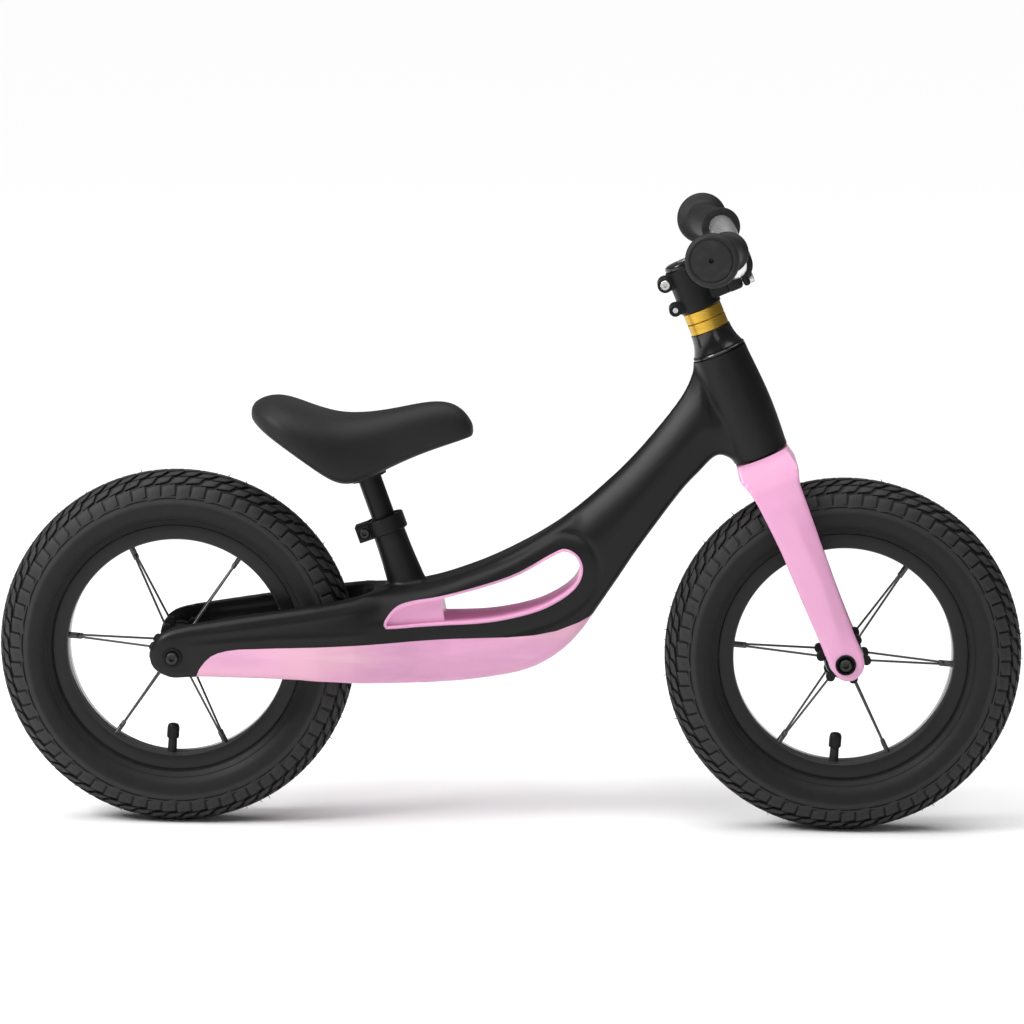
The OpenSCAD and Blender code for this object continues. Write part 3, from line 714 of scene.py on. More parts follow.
def make_frame():
    slab = extruded(through(FRAME_SIDE, SPAN_STEPS), -SLAB_HALF, SLAB_HALF, seen_from_side)
    slab = cut(slab, extruded(SLOT_PLAN, 100, 260, seen_from_above))
    slab = worked(slab, [("REMESH", {"mode": "VOXEL", "voxel_size": SLAB_VOXEL})])
    shape_casting(slab)
    whole = merged(slab, head_tube_form(), seat_tube_form())
    whole = worked(whole, [
        ("REMESH", {"mode": "VOXEL", "voxel_size": CASTING_VOXEL}),
        ("SMOOTH", {"factor": 0.5, "iterations": 9}),
    ])
    flute_casting(whole)
    bores = merged(
        moved(plug(20.5, 180, 300, 64), STEERING_MM),
        moved(plug(38, 150, HEAD_FOOT, 64), STEERING_MM),
        moved(plug(38, HEAD_TOP, 310, 64), STEERING_MM),
        moved(plug(POST_BORE_R, POST_BORE_FOOT, 80, 48), SEAT_MM),
        moved(plug(AXLE_BORE_R, -70, 70, 32), in_mm(REAR_WHEEL)),
    )
    window_outline = grown_outline(through(WINDOW_SIDE, LINER_STEPS), 0.2)
    whole = cut(whole, bores, extruded(window_outline, -80, 80, seen_from_side))
    belly_outline = [Vector(p) for p in BELLY_LINE]
    belly = combined(whole.copy(), extruded(belly_outline, -90, 90, seen_from_side), "INTERSECT")
    body = cut(whole, extruded(belly_outline, -90, 90, seen_from_side))
    put("frame_casting", body, "cast_black", "frame", AS_MADE, ("frame",))
    put("frame_underside", belly, "belly_pink", "frame", AS_MADE, ("frame",))


def make_window_liner():
    """Pink sleeve in the window, open in front and closed by a shallow pocket behind."""
    outer = through(WINDOW_SIDE, LINER_STEPS)
    sleeve = extruded(outer, -60, 60, seen_from_side)
    plan = [(x, y - 1.2) for x, y in zip(FRAME_WIDTH_X, FRAME_WIDTH_Y)]
    plan += [(x, -y) for x, y in reversed(plan)]
    sleeve = combined(sleeve, extruded(plan, 150, 280, seen_from_above), "INTERSECT")
    inner = grown_outline(outer, -LINER_WALL)
    hole = extruded(inner, -70, 70, seen_from_side)
    kept_behind(hole, (-57.5, 0, 190), (-27, 0, -5.5))
    sleeve = cut(sleeve, hole)
    for side in (-1, 1):
        pocket = extruded(inner, -70, 70, seen_from_side)
        floor = [(-125, side * 45), (-104, side * 40.5), (-80, side * 33), (-40, side * 24),
                 (-40, side * 90), (-125, side * 90)]
        pocket = combined(pocket, extruded(floor, 150, 280, seen_from_above), "INTERSECT")
        sleeve = cut(sleeve, pocket)
    sleeve = cut(sleeve, moved(plug(POST_BORE_R, POST_BORE_FOOT, 20, 48), SEAT_MM))
    bmesh.ops.remove_doubles(sleeve, verts=sleeve.verts[:], dist=0.02)
    bmesh.ops.dissolve_limit(sleeve, angle_limit=math.radians(1), verts=sleeve.verts[:],
                             edges=sleeve.edges[:])
    rim = [
        e for e in sleeve.edges
        if e.is_manifold and e.calc_face_angle() > math.radians(50)
        and all(abs(v.co.y) > frame_half_width(v.co.x) - LINER_WALL for v in e.verts)
        and all(near_line((v.co.x, v.co.z), inner) for v in e.verts)
    ]
    rounded(sleeve, 0.6, 2, rim)
    # its pink is painted lighter, standing in for light in the shaded window
    put("window_liner", sleeve, "liner_pink_painted_light", "frame", AS_MADE, ("frame",), 30)


def near_line(point, line, reach=0.6):
    x, z = np.array([point[0]]), np.array([point[1]])
    return distance_to(x, z, line, True)[0] < reach


# ------------------------------------------------------------------ the fork

CROWN_TOP = 190.2
BLANK_HALF = 60
FORK_VOXEL = 1.7
STEERER_R = 14.4
BLADE_SIDE = [
    (-13, 4), (-9.5, -10), (0, -15.6), (10.5, -12), (16.4, -2), (16.6, 20), (16.9, 45), (18, 75),
    (19.8, 110), (21.2, 140), (22, 158), (24.6, 167), (26.2, 173.5), (24.4, 183), (23.2, 190),
    (22.6, 200), (-21.5, 200), (-23.1, 190), (-24.6, 183), (-25.3, 177), (-21.8, 169),
    (-18.8, 156), (-16.6, 134), (-15, 110), (-14.6, 84), (-14.3, 60), (-13.6, 30),
]
FORK_OUTSIDE = [(50.4, -16), (50.4, 20), (52, 60), (52.5, 96), (50.4, 124), (45.6, 147),
                (38.5, 165), (30.5, 178), (24, 187), (22.4, 194), (22, 200)]
FORK_INSIDE = [(40, -20), (40, 20), (40, 90), (37, 140), (31, 158), (20, 164), (0, 165.5)]


def both_ways(points):
    return points + [(-a, b) for a, b in reversed(points) if a]


def crease_fork(bm):
    """Gives each blade its two flat facets, which meet in a ridge ahead of the middle."""
    co = coordinates(bm)
    t, y, s = co.T
    ridge = np.interp(s, (-16, 20, 80, 138, 165, 190), (2, 3, 7.5, 5, 2, 0))
    outside = np.interp(s, [p[1] for p in FORK_OUTSIDE], [p[0] for p in FORK_OUTSIDE])
    outer = np.clip((np.abs(y) - (outside - 8)) / 6, 0, 1)
    lower = np.clip(s / 30, 0, 1) * np.clip((172 - s) / 50, 0, 1)
    facet = 0.20 * np.maximum(ridge - t, 0) + 0.34 * np.maximum(t - ridge, 0)
    co[:, 1] -= np.sign(y) * outer * lower * facet
    set_coordinates(bm, co)


def make_fork():
    blank, outside, inside = (
        extruded(outline, -BLANK_HALF, BLANK_HALF, lift) for outline, lift in (
            (through(BLADE_SIDE, SPAN_STEPS), seen_from_side),
            (both_ways(FORK_OUTSIDE), seen_from_front),
            (both_ways(FORK_INSIDE), seen_from_front),
        )
    )
    blank = cut(combined(blank, outside, "INTERSECT"), inside)
    blank = worked(blank, [("REMESH", {"mode": "VOXEL", "voxel_size": FORK_VOXEL})])
    crease_fork(blank)
    blank = worked(blank, [("SMOOTH", {"factor": 0.5, "iterations": 7})])
    axle_bore = lathe([(0, -70), (8.4, -70), (8.4, -48.2), (3.3, -48.2), (3.3, 48.2),
                       (8.4, 48.2), (8.4, 70), (0, 70)], 48)
    steerer_bore = lathe([(0, 150), (STEERER_R, 150), (STEERER_R, CROWN_TOP - 2),
                          (40, CROWN_TOP), (40, 230), (0, 230)], 96)
    blank = cut(blank, moved(axle_bore, ACROSS), steerer_bore)
    put("fork_casting", blank, "cast_pink", "steering", STEERING, ("fork",))


# ------------------------------------------------------------------ wheels

LUG = 2.4
PITCHES = 34
HAIRS = 92
BEAD_R = 99.0
BEAD_INSIDE = 7.6
VALVE_ANGLE = 266.5
SPOKES_PER_SIDE = 6
FIRST_SPOKE_ANGLE = -4.5
NIPPLE_OFFSET = 3.8


def tyre_profile():
    """Half of the carcass section from bead to crown, as (radius, half width)."""
    base = TYRE_SECTION_R - LUG
    points = [(BEAD_R, BEAD_INSIDE), (BEAD_R, 10.6), (106.6, 11.2), (108.4, 12.6), (108.6, 15.5),
              (109.4, 17.6)]
    for degrees in range(-44, 91, 6):
        angle = math.radians(degrees)
        swell = 1.9 if -30 < degrees < 12 else 0.0
        points.append((SECTION_CENTRE_R + base * math.sin(angle),
                       (base + swell * (1 - abs(degrees) / 90)) * math.cos(angle)))
    return points


def carcass():
    half = tyre_profile()
    outside = half + [(r, -w) for r, w in reversed(half[:-1])]
    inside = [(r, -w) for r, w in [(BEAD_R, BEAD_INSIDE), (108, BEAD_INSIDE), (112, 15), (120, 21),
                                   (128, 22), (140, 18), (148, 9)]]
    inside += [(r, -w) for r, w in reversed(inside)]
    return lathe(outside + inside[1:-1], 144, closed=True)


def on_tyre(theta, phi, radius):
    """A point on the tyre: theta round the wheel, phi over the tread from the crown."""
    r = SECTION_CENTRE_R + radius * math.cos(phi)
    return Vector((r * math.cos(theta), r * math.sin(theta), radius * math.sin(phi)))


def tread_block(theta, phi, length, width, slant, height, tilt=0.0):
    """One block, given by its middle, its size in millimetres and how far it is slanted."""
    bm = bmesh.new()
    bmesh.ops.create_cube(bm, size=1)
    bmesh.ops.bevel(bm, geom=[e for e in bm.edges if min(v.co.z for v in e.verts) > 0],
                    offset=0.09, offset_type="OFFSET", segments=1, profile=0.5,
                    affect="EDGES", material=-1)
    base = TYRE_SECTION_R - LUG
    for vert in bm.verts:
        u, v, w = vert.co
        along = u * length + slant * v * width
        across = v * width + tilt * u * length
        radius = base - 1.0 + (w + 0.5) * (height + 1.0)
        angle = phi + across / TYRE_SECTION_R
        r = SECTION_CENTRE_R + TYRE_SECTION_R * math.cos(angle)
        vert.co = on_tyre(theta + along / r, angle, radius)
    return bm


TREAD_ROWS = [
    # angle from the crown, share of a pitch, length, width, slant, height, tilt
    (math.radians(65), 0.00, 11.2, 12.0, 0.06, 2.1, 0.22),
    (math.radians(63), 0.50, 11.0, 10.4, 0.06, 2.1, 0.22),
    (math.radians(40), 0.16, 11.4, 6.8, 0.60, 2.3, 0.22),
    (math.radians(39), 0.66, 11.0, 6.2, 0.60, 2.3, 0.22),
    (math.radians(21), 0.34, 11.6, 7.0, 0.80, 2.4, 0.25),
    (math.radians(21), 0.84, 11.6, 7.0, 0.80, 2.4, 0.25),
]


def tread():
    parts = []
    pitch = math.tau / PITCHES
    for i in range(PITCHES):
        for phi, share, length, width, slant, height, tilt in TREAD_ROWS:
            for side in (-1, 1):
                turn = (i + share + (0.25 if side > 0 else 0)) * pitch
                parts.append(tread_block(turn, side * phi, length, width, side * slant, height,
                                         side * tilt))
        for share in (0.1, 0.6):
            parts.append(tread_block((i + share) * pitch, 0, 13.0, 8.0, 0.5, LUG))
    return parts


def moulding_hairs(seed):
    """Thin rubber hairs left by the mould's vents, none near the ground."""
    rng = random.Random(seed)
    hairs = bmesh.new()
    for i in range(HAIRS):
        theta = math.tau * (i + rng.uniform(-0.3, 0.3)) / HAIRS
        if abs(theta - math.tau * 0.75) < 0.24:
            continue
        phi = rng.choice((-0.75, -0.5, -0.2, 0.2, 0.5, 0.75)) + rng.uniform(-0.08, 0.08)
        root = on_tyre(theta, phi, TYRE_SECTION_R - 0.6)
        tip = on_tyre(theta + rng.uniform(-0.012, 0.012), phi,
                      TYRE_SECTION_R + rng.uniform(1.2, 3.2))
        run = tip - root
        turn = run.to_track_quat("Z", "Y").to_matrix().to_4x4()
        place = Matrix.Translation((root + tip) / 2) @ turn
        bmesh.ops.create_cone(hairs, cap_ends=True, segments=5, radius1=0.45, radius2=0.16,
                              depth=run.length, matrix=place)
    return hairs


def sidewall_rings():
    """Raised rings on both sidewalls, at the edge of the tread and near the rim."""
    rings = []
    for r, w, size in ((134.4, 25.6, 0.8), (131.8, 26.1, 0.55), (129.6, 26.3, 0.45),
                       (113.4, 20.8, 0.5)):
        for side in (-1, 1):
            section = [(r + size * math.cos(a), side * (w + 0.6 * size * math.sin(a)))
                       for a in (math.tau * k / 8 for k in range(8))]
            rings.append(lathe(section, 144, closed=True))
    return rings


def make_tyre(end, place, seed):
    whole = merged(carcass(), *sidewall_rings(), *tread(), moulding_hairs(seed))
    put(f"{end}_tyre_tread", whole, f"{end}_tyre_rubber", f"{end}_wheel", place, (f"{end}_tyre",),
        32)


def rim_form():
    """Single-wall rim with rolled flanges and a shallow groove round its inner face."""
    half = [(95.35, 0.0), (95.35, 0.8), (RIM_INSIDE_R, 1.3), (RIM_INSIDE_R, 11.6), (95.5, 12.6),
            (96.6, 13.0), (106.4, 13.0), (107.6, 12.9), (108.0, 12.3), (107.8, 11.7),
            (106.8, 11.5), (98.0, 11.5), (98.0, 0.0)]
    other = [(r, -w) for r, w in reversed(half)]
    return lathe(half[:-1] + other[:-1], 160, closed=True)


def make_rim(end, place):
    put(f"{end}_rim_ring", rim_form(), f"{end}_rim_black", f"{end}_wheel", place, (f"{end}_rim",),
        28)


def make_valve(end, place):
    turn = Matrix.Rotation(math.radians(VALVE_ANGLE), 4, "Z") @ FORWARD
    stem = lathe([(0, 112), (4.6, 112), (4.6, 96), (4.2, 94.6), (4.0, 92), (3.9, 84), (3.4, 82.8),
                  (3.0, 82.6), (3.0, 74), (0, 74)], 40)
    put(f"{end}_valve_stem", stem, "grip_rubber", f"{end}_wheel", place @ turn,
        (f"{end}_valve",))
    cap = lathe([(0, 69.8), (2.6, 69.9), (4.2, 70.6), (5.0, 72.0), (5.2, 74), (5.2, 81.6),
                 (4.9, 82.8), (3.1, 82.8), (3.1, 73), (0, 73)], 60)
    for vert in cap.verts:
        r = math.hypot(vert.co.x, vert.co.y)
        if r > 4.9 and 73.9 < vert.co.z < 81.7:
            ridge = 1 + 0.035 * math.cos(20 * math.atan2(vert.co.y, vert.co.x))
            vert.co.x *= ridge
            vert.co.y *= ridge
    put(f"{end}_valve_cap_ribbed", cap, "moulded_black", f"{end}_wheel", place @ turn,
        (f"{end}_valve_cap",))


def make_nipples(end, place):
    forms = []
    for i in range(SPOKES_PER_SIDE):
        angle = FIRST_SPOKE_ANGLE + 360 // SPOKES_PER_SIDE * i
        turn = Matrix.Rotation(math.radians(angle), 4, "Z")
        for side in (-1, 1):
            form = lathe([(0.9, 84), (1.7, 84), (2.0, 84.6), (2.0, 88), (1.75, 88.4), (2.0, 88.8),
                          (2.0, 97), (0.9, 97)], 16, closed=True)
            spot = turn @ Matrix.Translation((0, 0, side * NIPPLE_OFFSET)) @ FORWARD
            forms.append(moved(form, spot))
    put(f"{end}_spoke_nipples", merged(*forms), "steel_spoke", f"{end}_wheel", place,
        (f"{end}_nipples",))


# ------------------------------------------------------------------ saddle

SADDLE_STATIONS = [
    # x, half width, top, foot of the skirt
    (-225, 20, 366.5, 359), (-221.5, 33, 369.8, 354.5), (-214, 46, 373.4, 347.5),
    (-203, 56, 374.8, 339.5), (-190, 61.5, 372, 330.5), (-175, 61.5, 366.6, 319.5),
    (-160, 57, 362.5, 308), (-147, 50.5, 360.6, 300.5), (-133, 43.5, 360.8, 301),
    (-118, 36.5, 362.4, 307.5), (-100, 29.5, 365.8, 316.5), (-84, 25.5, 369.6, 323.8),
    (-68, 22.5, 372.2, 330), (-55, 20, 371.6, 334.6), (-45, 17, 366.8, 338.2),
    (-38, 13, 359.2, 341), (-33.6, 8.5, 351.4, 343),
]


SADDLE_RING_POINTS = 28


def saddle_ring(bm, x, half, top, foot):
    """A cross-section: broad crown, sides that fall steeply, hollow underneath."""
    middle = foot + (top - foot) * 0.34
    ring = []
    for k in range(SADDLE_RING_POINTS):
        a = math.tau * k / SADDLE_RING_POINTS
        c, s = math.cos(a), math.sin(a)
        y = half * math.copysign(abs(c) ** 0.72, c)
        if s >= 0:
            z = middle + (top - middle) * abs(s) ** 0.80
        else:
            drop = abs(s) ** 0.55
            z = middle - (middle - foot) * drop
            z += 0.55 * (top - foot) * max(0.0, 0.62 - abs(y) / half) ** 1.2
        ring.append(bm.verts.new((x, y, z)))
    return [bm.edges.new(pair) for pair in zip(ring, ring[1:] + ring[:1])]


def make_saddle():
    bm = bmesh.new()
    rings = [saddle_ring(bm, *station) for station in SADDLE_STATIONS]
    for a, b in zip(rings, rings[1:]):
        bmesh.ops.bridge_loops(bm, edges=a + b)
    for ring in (rings[0], rings[-1]):
        bmesh.ops.contextual_create(bm, geom=ring)
    bmesh.ops.recalc_face_normals(bm, faces=bm.faces[:])
    bm = worked(bm, [("SUBSURF", {"levels": 2, "render_levels": 2})])
    piece = put("saddle_cover", bm, "saddle_skin", "seat", AS_MADE, ("saddle_pad",),
                None)


# ------------------------------------------------------------------ handlebar and grips

BAR_PATH = [
    (187.5, 0, 495), (187.5, 26, 495), (187, 40, 497), (185, 62, 504.5), (182.4, 84, 511.5),
    (180, 106, 515), (174.4, 132, 515.3), (164.4, 182, 515.8),
]
GRIP_FOOT = Vector((180, 106, 515))
GRIP_TIP = Vector((163.9, 186.5, 515.9))


def tube_along(points, radius):
    """Round tube on a smooth curve through the points."""
    curve = bpy.data.curves.new("tube", "CURVE")
    curve.dimensions = "3D"
    curve.bevel_depth = radius
    curve.bevel_resolution = 7
    curve.resolution_u = 10
    curve.use_fill_caps = True
    spline = curve.splines.new("BEZIER")
    spline.bezier_points.add(len(points) - 1)
    for knot, point in zip(spline.bezier_points, points):
        knot.co = point
        knot.handle_left_type = knot.handle_right_type = "AUTO"
    made = bpy.data.objects.new("tube", curve)
    bpy.context.collection.objects.link(made)
    bm = bmesh.new()
    bm.from_mesh(made.to_mesh())
    made.to_mesh_clear()
    bpy.data.objects.remove(made)
    bpy.data.curves.remove(curve)
    bmesh.ops.remove_doubles(bm, verts=bm.verts[:], dist=1e-4)
    return bm


def make_handlebar():
    path = [(x, -y, z) for x, y, z in reversed(BAR_PATH[1:])] + BAR_PATH
    put("handlebar_tube", tube_along(path, BAR_R), "bar_chrome", "steering", AS_MADE,
        ("handlebar",), 60)


def make_grips():
    run = GRIP_TIP - GRIP_FOOT
    length = run.length
    profile = [(11.4, 0.0), (16.2, 0.0), (17.2, 0.6), (17.6, 1.8), (17.4, 3.2), (16.4, 4.2),
               (15.2, 5.2), (14.4, 7.5), (14.1, 12)]
    profile += [(14.1, 20), (14.3, 38), (14.7, 56), (14.9, length - 17)]
    profile += [(15.6, length - 13), (18.0, length - 10.4), (20.8, length - 8.8),
                (22.4, length - 6.8), (22.8, length - 4.6), (22.2, length - 2.4),
                (20.8, length - 1.0), (19.2, length - 0.5), (18.3, length - 1.3),
                (17.5, length - 1.4), (16.8, length - 0.5), (12, length - 0.1),
                (5, length - 0.2), (2.2, length - 0.4), (1.7, length - 3), (0, length - 3.2)]
    for side, name in ((1, "left"), (-1, "right")):
        foot = Vector((GRIP_FOOT.x, side * GRIP_FOOT.y, GRIP_FOOT.z))
        along = Vector((run.x, side * run.y, run.z))
        turn = along.to_track_quat("Z", "X").to_matrix().to_4x4()
        grip = lathe([(11.4, 5.0)] + profile, 96)
        bmesh.ops.holes_fill(grip, edges=[e for e in grip.edges if e.is_boundary], sides=0)
        grip = moved(grip, Matrix.Translation(foot) @ turn)
        put(f"{name}_hand_grip", grip, "grip_rubber", "steering", AS_MADE, (f"grip_{name}",),
            40)


# ------------------------------------------------------------------ headset and stem

SPACER_H = 10
SPACER_FOOT = HEAD_TOP + 21.8
STEM_FOOT = SPACER_FOOT + 2 * SPACER_H
STEM_TOP = STEM_FOOT + 38.7
STEM_BORE_R = 14.3
BAR_S = 352.6
BAR_T = 39.4
BAR_HOLE_R = 11.15
EAR_LOW = STEM_FOOT + 7
EAR_HIGH = STEM_FOOT + 30.4
EAR_T = -21.4
CLAMP_HALF = 20.8
CLAMP_REACH = 20.6
FACE_JOINT_T = BAR_T + 2.2


def make_headset():
    cover = lathe([(STEERER_R, 286), (22.6, 286), (23.3, 286.6), (23.4, 287.8), (22.9, 288.5),
                   (21.6, 288.9), (21.9, 289.6), (21.5, 290.6), (19.9, 294.2), (18.6, 299),
                   (17.9, 303.4), (17.7, 307.0), (17.2, 307.3), (STEERER_R, 307.3)], 96,
                  closed=True)
    put("headset_cone", cover, "gloss_black", "steering", STEERING, ("headset_cover",))
    for name, foot in (("lower_spacer", SPACER_FOOT), ("upper_spacer", SPACER_FOOT + SPACER_H)):
        ring = lathe([(STEERER_R, foot + 0.1), (16.3, foot + 0.1), (17.0, foot + 0.7),
                      (17.0, foot + 9.3), (16.3, foot + 9.9), (STEERER_R, foot + 9.9)], 96,
                     closed=True)
        put(f"{name}_ring", ring, "gold", "steering", STEERING, (name,))


def cross_rod(radius, low, high, segments=40, bevel=0.6):
    """Rod across the bike, with softened ends."""
    profile = [(0, low), (radius - bevel, low), (radius, low + bevel), (radius, high - bevel),
               (radius - bevel, high), (0, high)]
    return moved(lathe(profile, segments), ACROSS_BACK)


def bar_rod(radius, half, segments=40, bevel=0.6):
    return at(cross_rod(radius, -half, half, segments, bevel), BAR_T, 0, BAR_S)


def about_bar(low_t, high_t, half_y, half_s, bevel=0.0, segments=3):
    """Block level with the bar, from one distance ahead of the steering axis to another."""
    return box_part((low_t, -half_y, BAR_S - half_s), (high_t, half_y, BAR_S + half_s), bevel,
                    segments)


def make_stem():
    whole = lathe([(STEM_BORE_R, STEM_FOOT), (17.2, STEM_FOOT), (18, STEM_FOOT + 0.8),
                   (18, STEM_TOP - 0.8), (17.2, STEM_TOP), (STEM_BORE_R, STEM_TOP)], 72,
                  closed=True)
    forms = []
    for height, radius in ((EAR_LOW, 5.4), (EAR_HIGH, 6.6)):
        forms.append(at(cross_rod(radius, -10.5, 10.5, 48, 0.9), EAR_T, 0, height))
        forms.append(box_part((EAR_T, -10.2, height - radius + 0.4),
                              (-6, 10.2, height + radius - 0.4), 0.8, 2))
    forms.append(box_part((6, -13.5, STEM_FOOT + 4), (BAR_T - 5, 13.5, STEM_FOOT + 34), 4, 4))
    forms.append(bar_rod(16.8, 20.6, 72, 1.6))
    forms.append(about_bar(BAR_T - 12, BAR_T + 1.4, CLAMP_HALF, CLAMP_REACH, 3, 3))
    for form in forms:
        whole = combined(whole, form, "UNION")
    whole = cut(whole, about_bar(BAR_T + 1.4, BAR_T + 60, 40, 40))
    for height, side in ((EAR_LOW, 1), (EAR_HIGH, -1)):
        seat = at(cross_rod(4.5, -3.4, 3.4, 40, 0.05), EAR_T, side * 11.6, height)
        whole = cut(whole, seat, at(cross_rod(2.5, -14, 14), EAR_T, 0, height))
    slit = box_part((-40, -1, STEM_FOOT - 1), (-10, 1, STEM_TOP + 1))
    whole = cut(whole, slit, bar_rod(BAR_HOLE_R, 40), plug(STEM_BORE_R, 300, 400, 72))
    put("stem_body", whole, "alloy_black", "steering", STEERING, ("stem",), 32)


def make_faceplate():
    plate = about_bar(FACE_JOINT_T, BAR_T + 8, CLAMP_HALF, CLAMP_REACH, 2.2, 3)
    plate = combined(plate, bar_rod(16.4, CLAMP_HALF, 64, 1.6), "UNION")
    plate = cut(plate, about_bar(BAR_T - 40, FACE_JOINT_T, 40, 40), bar_rod(BAR_HOLE_R, 40))
    for s in (-1, 1):
        middle = BAR_S + s * 21
        plate = cut(plate, box_part((BAR_T, -6.5, middle - 5), (BAR_T + 30, 6.5, middle + 5), 1.5))
    plate = cut(plate, about_bar(BAR_T + 5, BAR_T + 40, 9, 6, 2.5, 3))
    put("stem_front_cap", plate, "alloy_black", "steering", STEERING, ("stem_faceplate",),
        32)


def socket_bolt(head_r, head_h, shank_r, shank, socket_r):
    """Socket head screw, head up, with its seat at height 0."""
    six = bmesh.new()
    bmesh.ops.create_cone(six, cap_ends=True, segments=6, radius1=socket_r, radius2=socket_r,
                          depth=1.6 * head_h, matrix=Matrix.Translation((0, 0, head_h)))
    solid = lathe([(0, -shank), (shank_r, -shank), (shank_r, 0), (head_r, 0),
                   (head_r, head_h - 0.6), (head_r - 0.6, head_h), (0, head_h)], 48)
    return cut(solid, six)


def make_stem_bolts():
    forms = []
    for height, turn, side in ((EAR_HIGH, ACROSS, -1), (EAR_LOW, ACROSS_BACK, 1)):
        bolt = moved(socket_bolt(4.2, 3.2, 2.3, 18, 2.0), turn)
        forms.append(at(bolt, EAR_T, side * 8.3, height))
    put("stem_clamp_screws", merged(*forms), "steel_bright", "steering", STEERING,
        ("stem_clamp_bolts",))
    forms = []
    for y in (-14, 14):
        for s in (-16.5, 16.5):
            bolt = moved(socket_bolt(3.9, 3.8, 2.3, 16, 1.9), FORWARD)
            forms.append(at(bolt, BAR_T + 8.1, y, BAR_S + s))
    put("faceplate_screws", merged(*forms), "steel_bright", "steering", STEERING,
        ("faceplate_bolts",))


def make_top_cap():
    top = STEM_TOP + 0.2
    cap = lathe([(0, top - 2.4), (12.3, top - 2.4), (12.3, top), (16.4, top), (16.9, top + 0.6),
                 (16.9, top + 2.6), (16.2, top + 3.8), (14.0, top + 4.8), (6.2, top + 5.0),
                 (5.6, top + 4.4), (5.6, top + 2.2), (0, top + 2.2)], 80)
    put("stem_top_cap", cap, "gloss_black", "steering", STEERING, ("top_cap",))
    bolt = at(socket_bolt(5.1, 2.8, 2.8, 30, 2.5), 0, 0, top + 2.2)
    put("top_cap_screw", bolt, "steel_bright", "steering", STEERING, ("top_cap_bolt",))


# ------------------------------------------------------------------ seat clamp and axle ends

CLAMP_FOOT = 38.0
CLAMP_H = 14.0
COLLAR_BORE_R = 14.2
LUG_BOLT_T = -19.8
LUG_BOLT_S = CLAMP_FOOT + 6


def make_seat_clamp():
    foot, top = CLAMP_FOOT, CLAMP_FOOT + CLAMP_H
    collar = lathe([(COLLAR_BORE_R, foot), (16.8, foot), (17.4, foot + 0.7), (17.4, top - 0.7),
                    (16.8, top), (COLLAR_BORE_R, top)], 72, closed=True)
    lug = box_part((-26.4, -9, foot - 1), (-8, 9, top), 1.0, 2)
    slit = box_part((-40, -1.2, 20), (-5, 1.2, 70))
    screw_hole = merged(at(cross_rod(2.6, -20, 20), LUG_BOLT_T, 0, LUG_BOLT_S),
                        at(cross_rod(5.0, -20, -6.4, 40, 0.1), LUG_BOLT_T, 0, LUG_BOLT_S))
    whole = combined(collar, lug, "UNION")
    whole = cut(whole, plug(COLLAR_BORE_R, 20, 70, 72), slit, screw_hole)
    put("seat_collar", whole, "alloy_black", "frame", SEAT, ("seat_clamp",), 32)
    bolt = moved(socket_bolt(4.4, 3.4, 2.5, 15, 2.2), ACROSS)
    put("seat_collar_screw", at(bolt, LUG_BOLT_T, -6.3, LUG_BOLT_S), "steel_dark", "frame", SEAT,
        ("seat_clamp_bolt",))


def axle_bolt(outer, recessed):
    return at(socket_bolt(5.0, 4.4, 3.0, 26, 2.7), 0, 0, outer + (0.3 if recessed else 1.2))


def axle_washer(outer, recessed):
    """Dished washer that sits in the fork's recess, or a thin one on the stay's end."""
    if recessed:
        profile = [(AXLE_BORE_R, outer - 2.1), (8.2, outer - 2.1), (8.9, outer - 0.4),
                   (8.9, outer + 0.7), (8.4, outer + 1.2), (7.4, outer + 1.1),
                   (6.4, outer - 0.6), (5.4, outer - 0.9), (AXLE_BORE_R, outer - 0.9)]
    else:
        profile = [(AXLE_BORE_R, outer + 0.05), (8.3, outer + 0.05), (8.5, outer + 0.5),
                   (8.1, outer + 1.3), (7.0, outer + 1.5), (5.8, outer + 1.0),
                   (AXLE_BORE_R, outer + 1.0)]
    return lathe(profile, 64, closed=True)


def make_axle_ends(end, place, body, outer, recessed):
    """Socket bolts and their washers, one each side."""
    for part, form, finish, slot in (("bolts", axle_bolt, "steel_dark", "dark_steel"),
                                     ("washers", axle_washer, "alloy_black", "black_alloy")):
        both = merged(*(moved(form(outer, recessed), turn) for turn in (ACROSS_BACK, ACROSS)))
        put(f"{end}_axle_{part}_set", both, finish, body, Matrix.Translation(place),
            (f"{end}_axle_{part}",))


# ------------------------------------------------------------------ carried-over CAD nodes

NODE_FINISHES = {
    "upper_bearing": "bearing_steel", "lower_bearing": "bearing_steel",
    "rear_axle": "steel_dark", "front_axle": "steel_dark", "seat_post": "alloy_black",
    "saddle_base": "moulded_black", "saddle_bolt": "steel_dark", "steerer": "steel_dark",
    "crown_race": "bearing_steel", "compression_ring": "bearing_steel",
    "star_nut": "steel_bright",
}
WHEEL_FINISHES = {
    "inner_tube": "grip_rubber", "rim_tape": "rim_tape", "spokes": "steel_spoke",
    "hub": "alloy_black", "hub_bearings": "bearing_steel",
}


def finish_nodes():
    finishes = dict(NODE_FINISHES)
    for end in ("rear", "front"):
        finishes.update({f"{end}_{part}": name for part, name in WHEEL_FINISHES.items()})
    for node, name in finishes.items():
        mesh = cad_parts[node].data
        mesh.materials.clear()
        mesh.materials.append(FINISHES[name].material)


# ------------------------------------------------------------------ studio and camera

CAMERA_PLACE = Vector((64.9, -3814.7, 898.8)) * MM
CAMERA_YAW = math.radians(0.97)
CAMERA_PITCH = math.radians(9.27)
CAMERA_ROLL = math.radians(0.61)
CAMERA_LENS = 156.95
LIGHT_SIDE = 1.0
FLOOR_HALF = 60


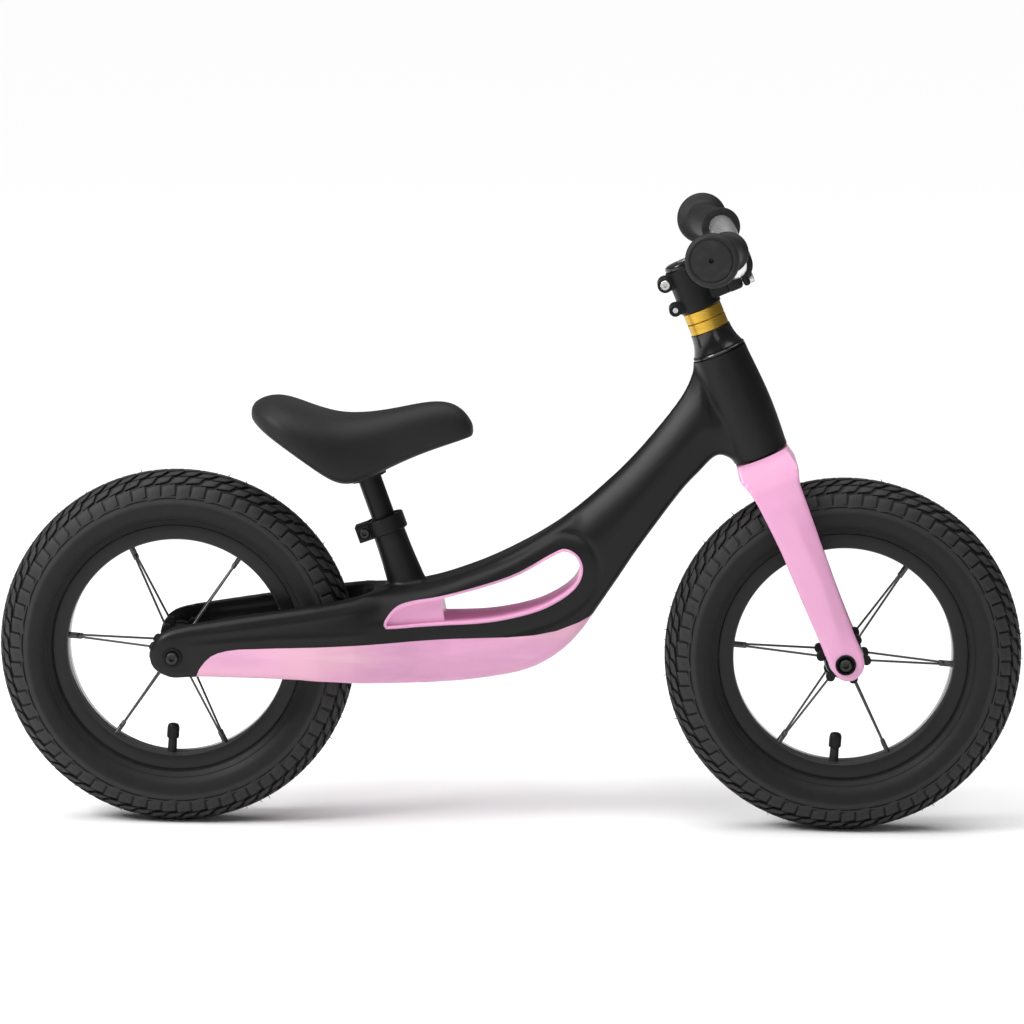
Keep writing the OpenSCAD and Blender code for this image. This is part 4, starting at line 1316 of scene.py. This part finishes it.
def make_camera():
    lens = bpy.data.cameras.new("camera")
    lens.lens = CAMERA_LENS
    lens.sensor_width = 36
    camera = bpy.data.objects.new("camera", lens)
    bpy.context.collection.objects.link(camera)
    turn = Matrix.Rotation(CAMERA_YAW, 4, "Z")
    turn = turn @ Matrix.Rotation(QUARTER - CAMERA_PITCH, 4, "X")
    turn = turn @ Matrix.Rotation(CAMERA_ROLL, 4, "Z")
    camera.matrix_world = Matrix.Translation(CAMERA_PLACE) @ turn
    bpy.context.scene.camera = camera


def make_area_light(name, place, target, power):
    light = bpy.data.lights.new(name, "AREA")
    light.shape = "RECTANGLE"
    light.size = light.size_y = LIGHT_SIDE
    light.energy = power
    made = bpy.data.objects.new(name, light)
    bpy.context.collection.objects.link(made)
    aim = (Vector(target) - Vector(place)).to_track_quat("-Z", "Y").to_matrix().to_4x4()
    made.matrix_world = Matrix.Translation(place) @ aim


def make_sky_light(strength, spread, tip):
    """Even light from above, which whitens the whole floor."""
    light = bpy.data.lights.new("sky", "SUN")
    light.energy = strength
    light.angle = math.radians(spread)
    made = bpy.data.objects.new("sky", light)
    bpy.context.collection.objects.link(made)
    made.matrix_world = Matrix.Rotation(math.radians(tip), 4, "X")


def make_floor():
    floor = bmesh.new()
    bmesh.ops.create_grid(floor, x_segments=1, y_segments=1, size=FLOOR_HALF)
    mesh = bpy.data.meshes.new("floor")
    floor.to_mesh(mesh)
    floor.free()
    piece = bpy.data.objects.new("floor", mesh)
    bpy.context.collection.objects.link(piece)
    paper = bpy.data.materials.new("paper")
    paper.use_nodes = True
    shader = paper.node_tree.nodes["Principled BSDF"]
    shader.inputs["Base Color"].default_value = (0.93, 0.93, 0.93, 1)
    shader.inputs["Roughness"].default_value = 1.0
    shader.inputs["Specular IOR Level"].default_value = 0.0
    mesh.materials.append(paper)


def make_studio():
    world = bpy.data.worlds.new("studio")
    world.use_nodes = True
    background = world.node_tree.nodes["Background"]
    background.inputs["Color"].default_value = (1, 1, 1, 1)
    background.inputs["Strength"].default_value = 0.12
    bpy.context.scene.world = world
    bpy.context.scene.view_settings.view_transform = "Standard"
    make_floor()
    make_sky_light(strength=2.95, spread=75, tip=6)
    make_area_light("key", (-2.0, -1.0, 1.85), (-0.05, 0, 0.3), power=60)
    make_area_light("fill", (0.7, -2.6, 1.2), (0, 0, 0.2), power=4)


# ------------------------------------------------------------------ making

make_camera()
make_studio()
finish_nodes()
make_frame()
make_window_liner()
make_fork()
for wheel_end, wheel_place, wheel_seed in (("rear", REAR_WHEEL, 3), ("front", FRONT_WHEEL, 8)):
    make_tyre(wheel_end, wheel_place, wheel_seed)
    make_rim(wheel_end, wheel_place)
    make_valve(wheel_end, wheel_place)
    make_nipples(wheel_end, wheel_place)
make_saddle()
make_handlebar()
make_grips()
make_headset()
make_stem()
make_faceplate()
make_stem_bolts()
make_top_cap()
make_seat_clamp()
make_axle_ends("rear", REAR_HUB, "frame", 60.0, False)
make_axle_ends("front", FRONT_HUB, "steering", 50.4, True)
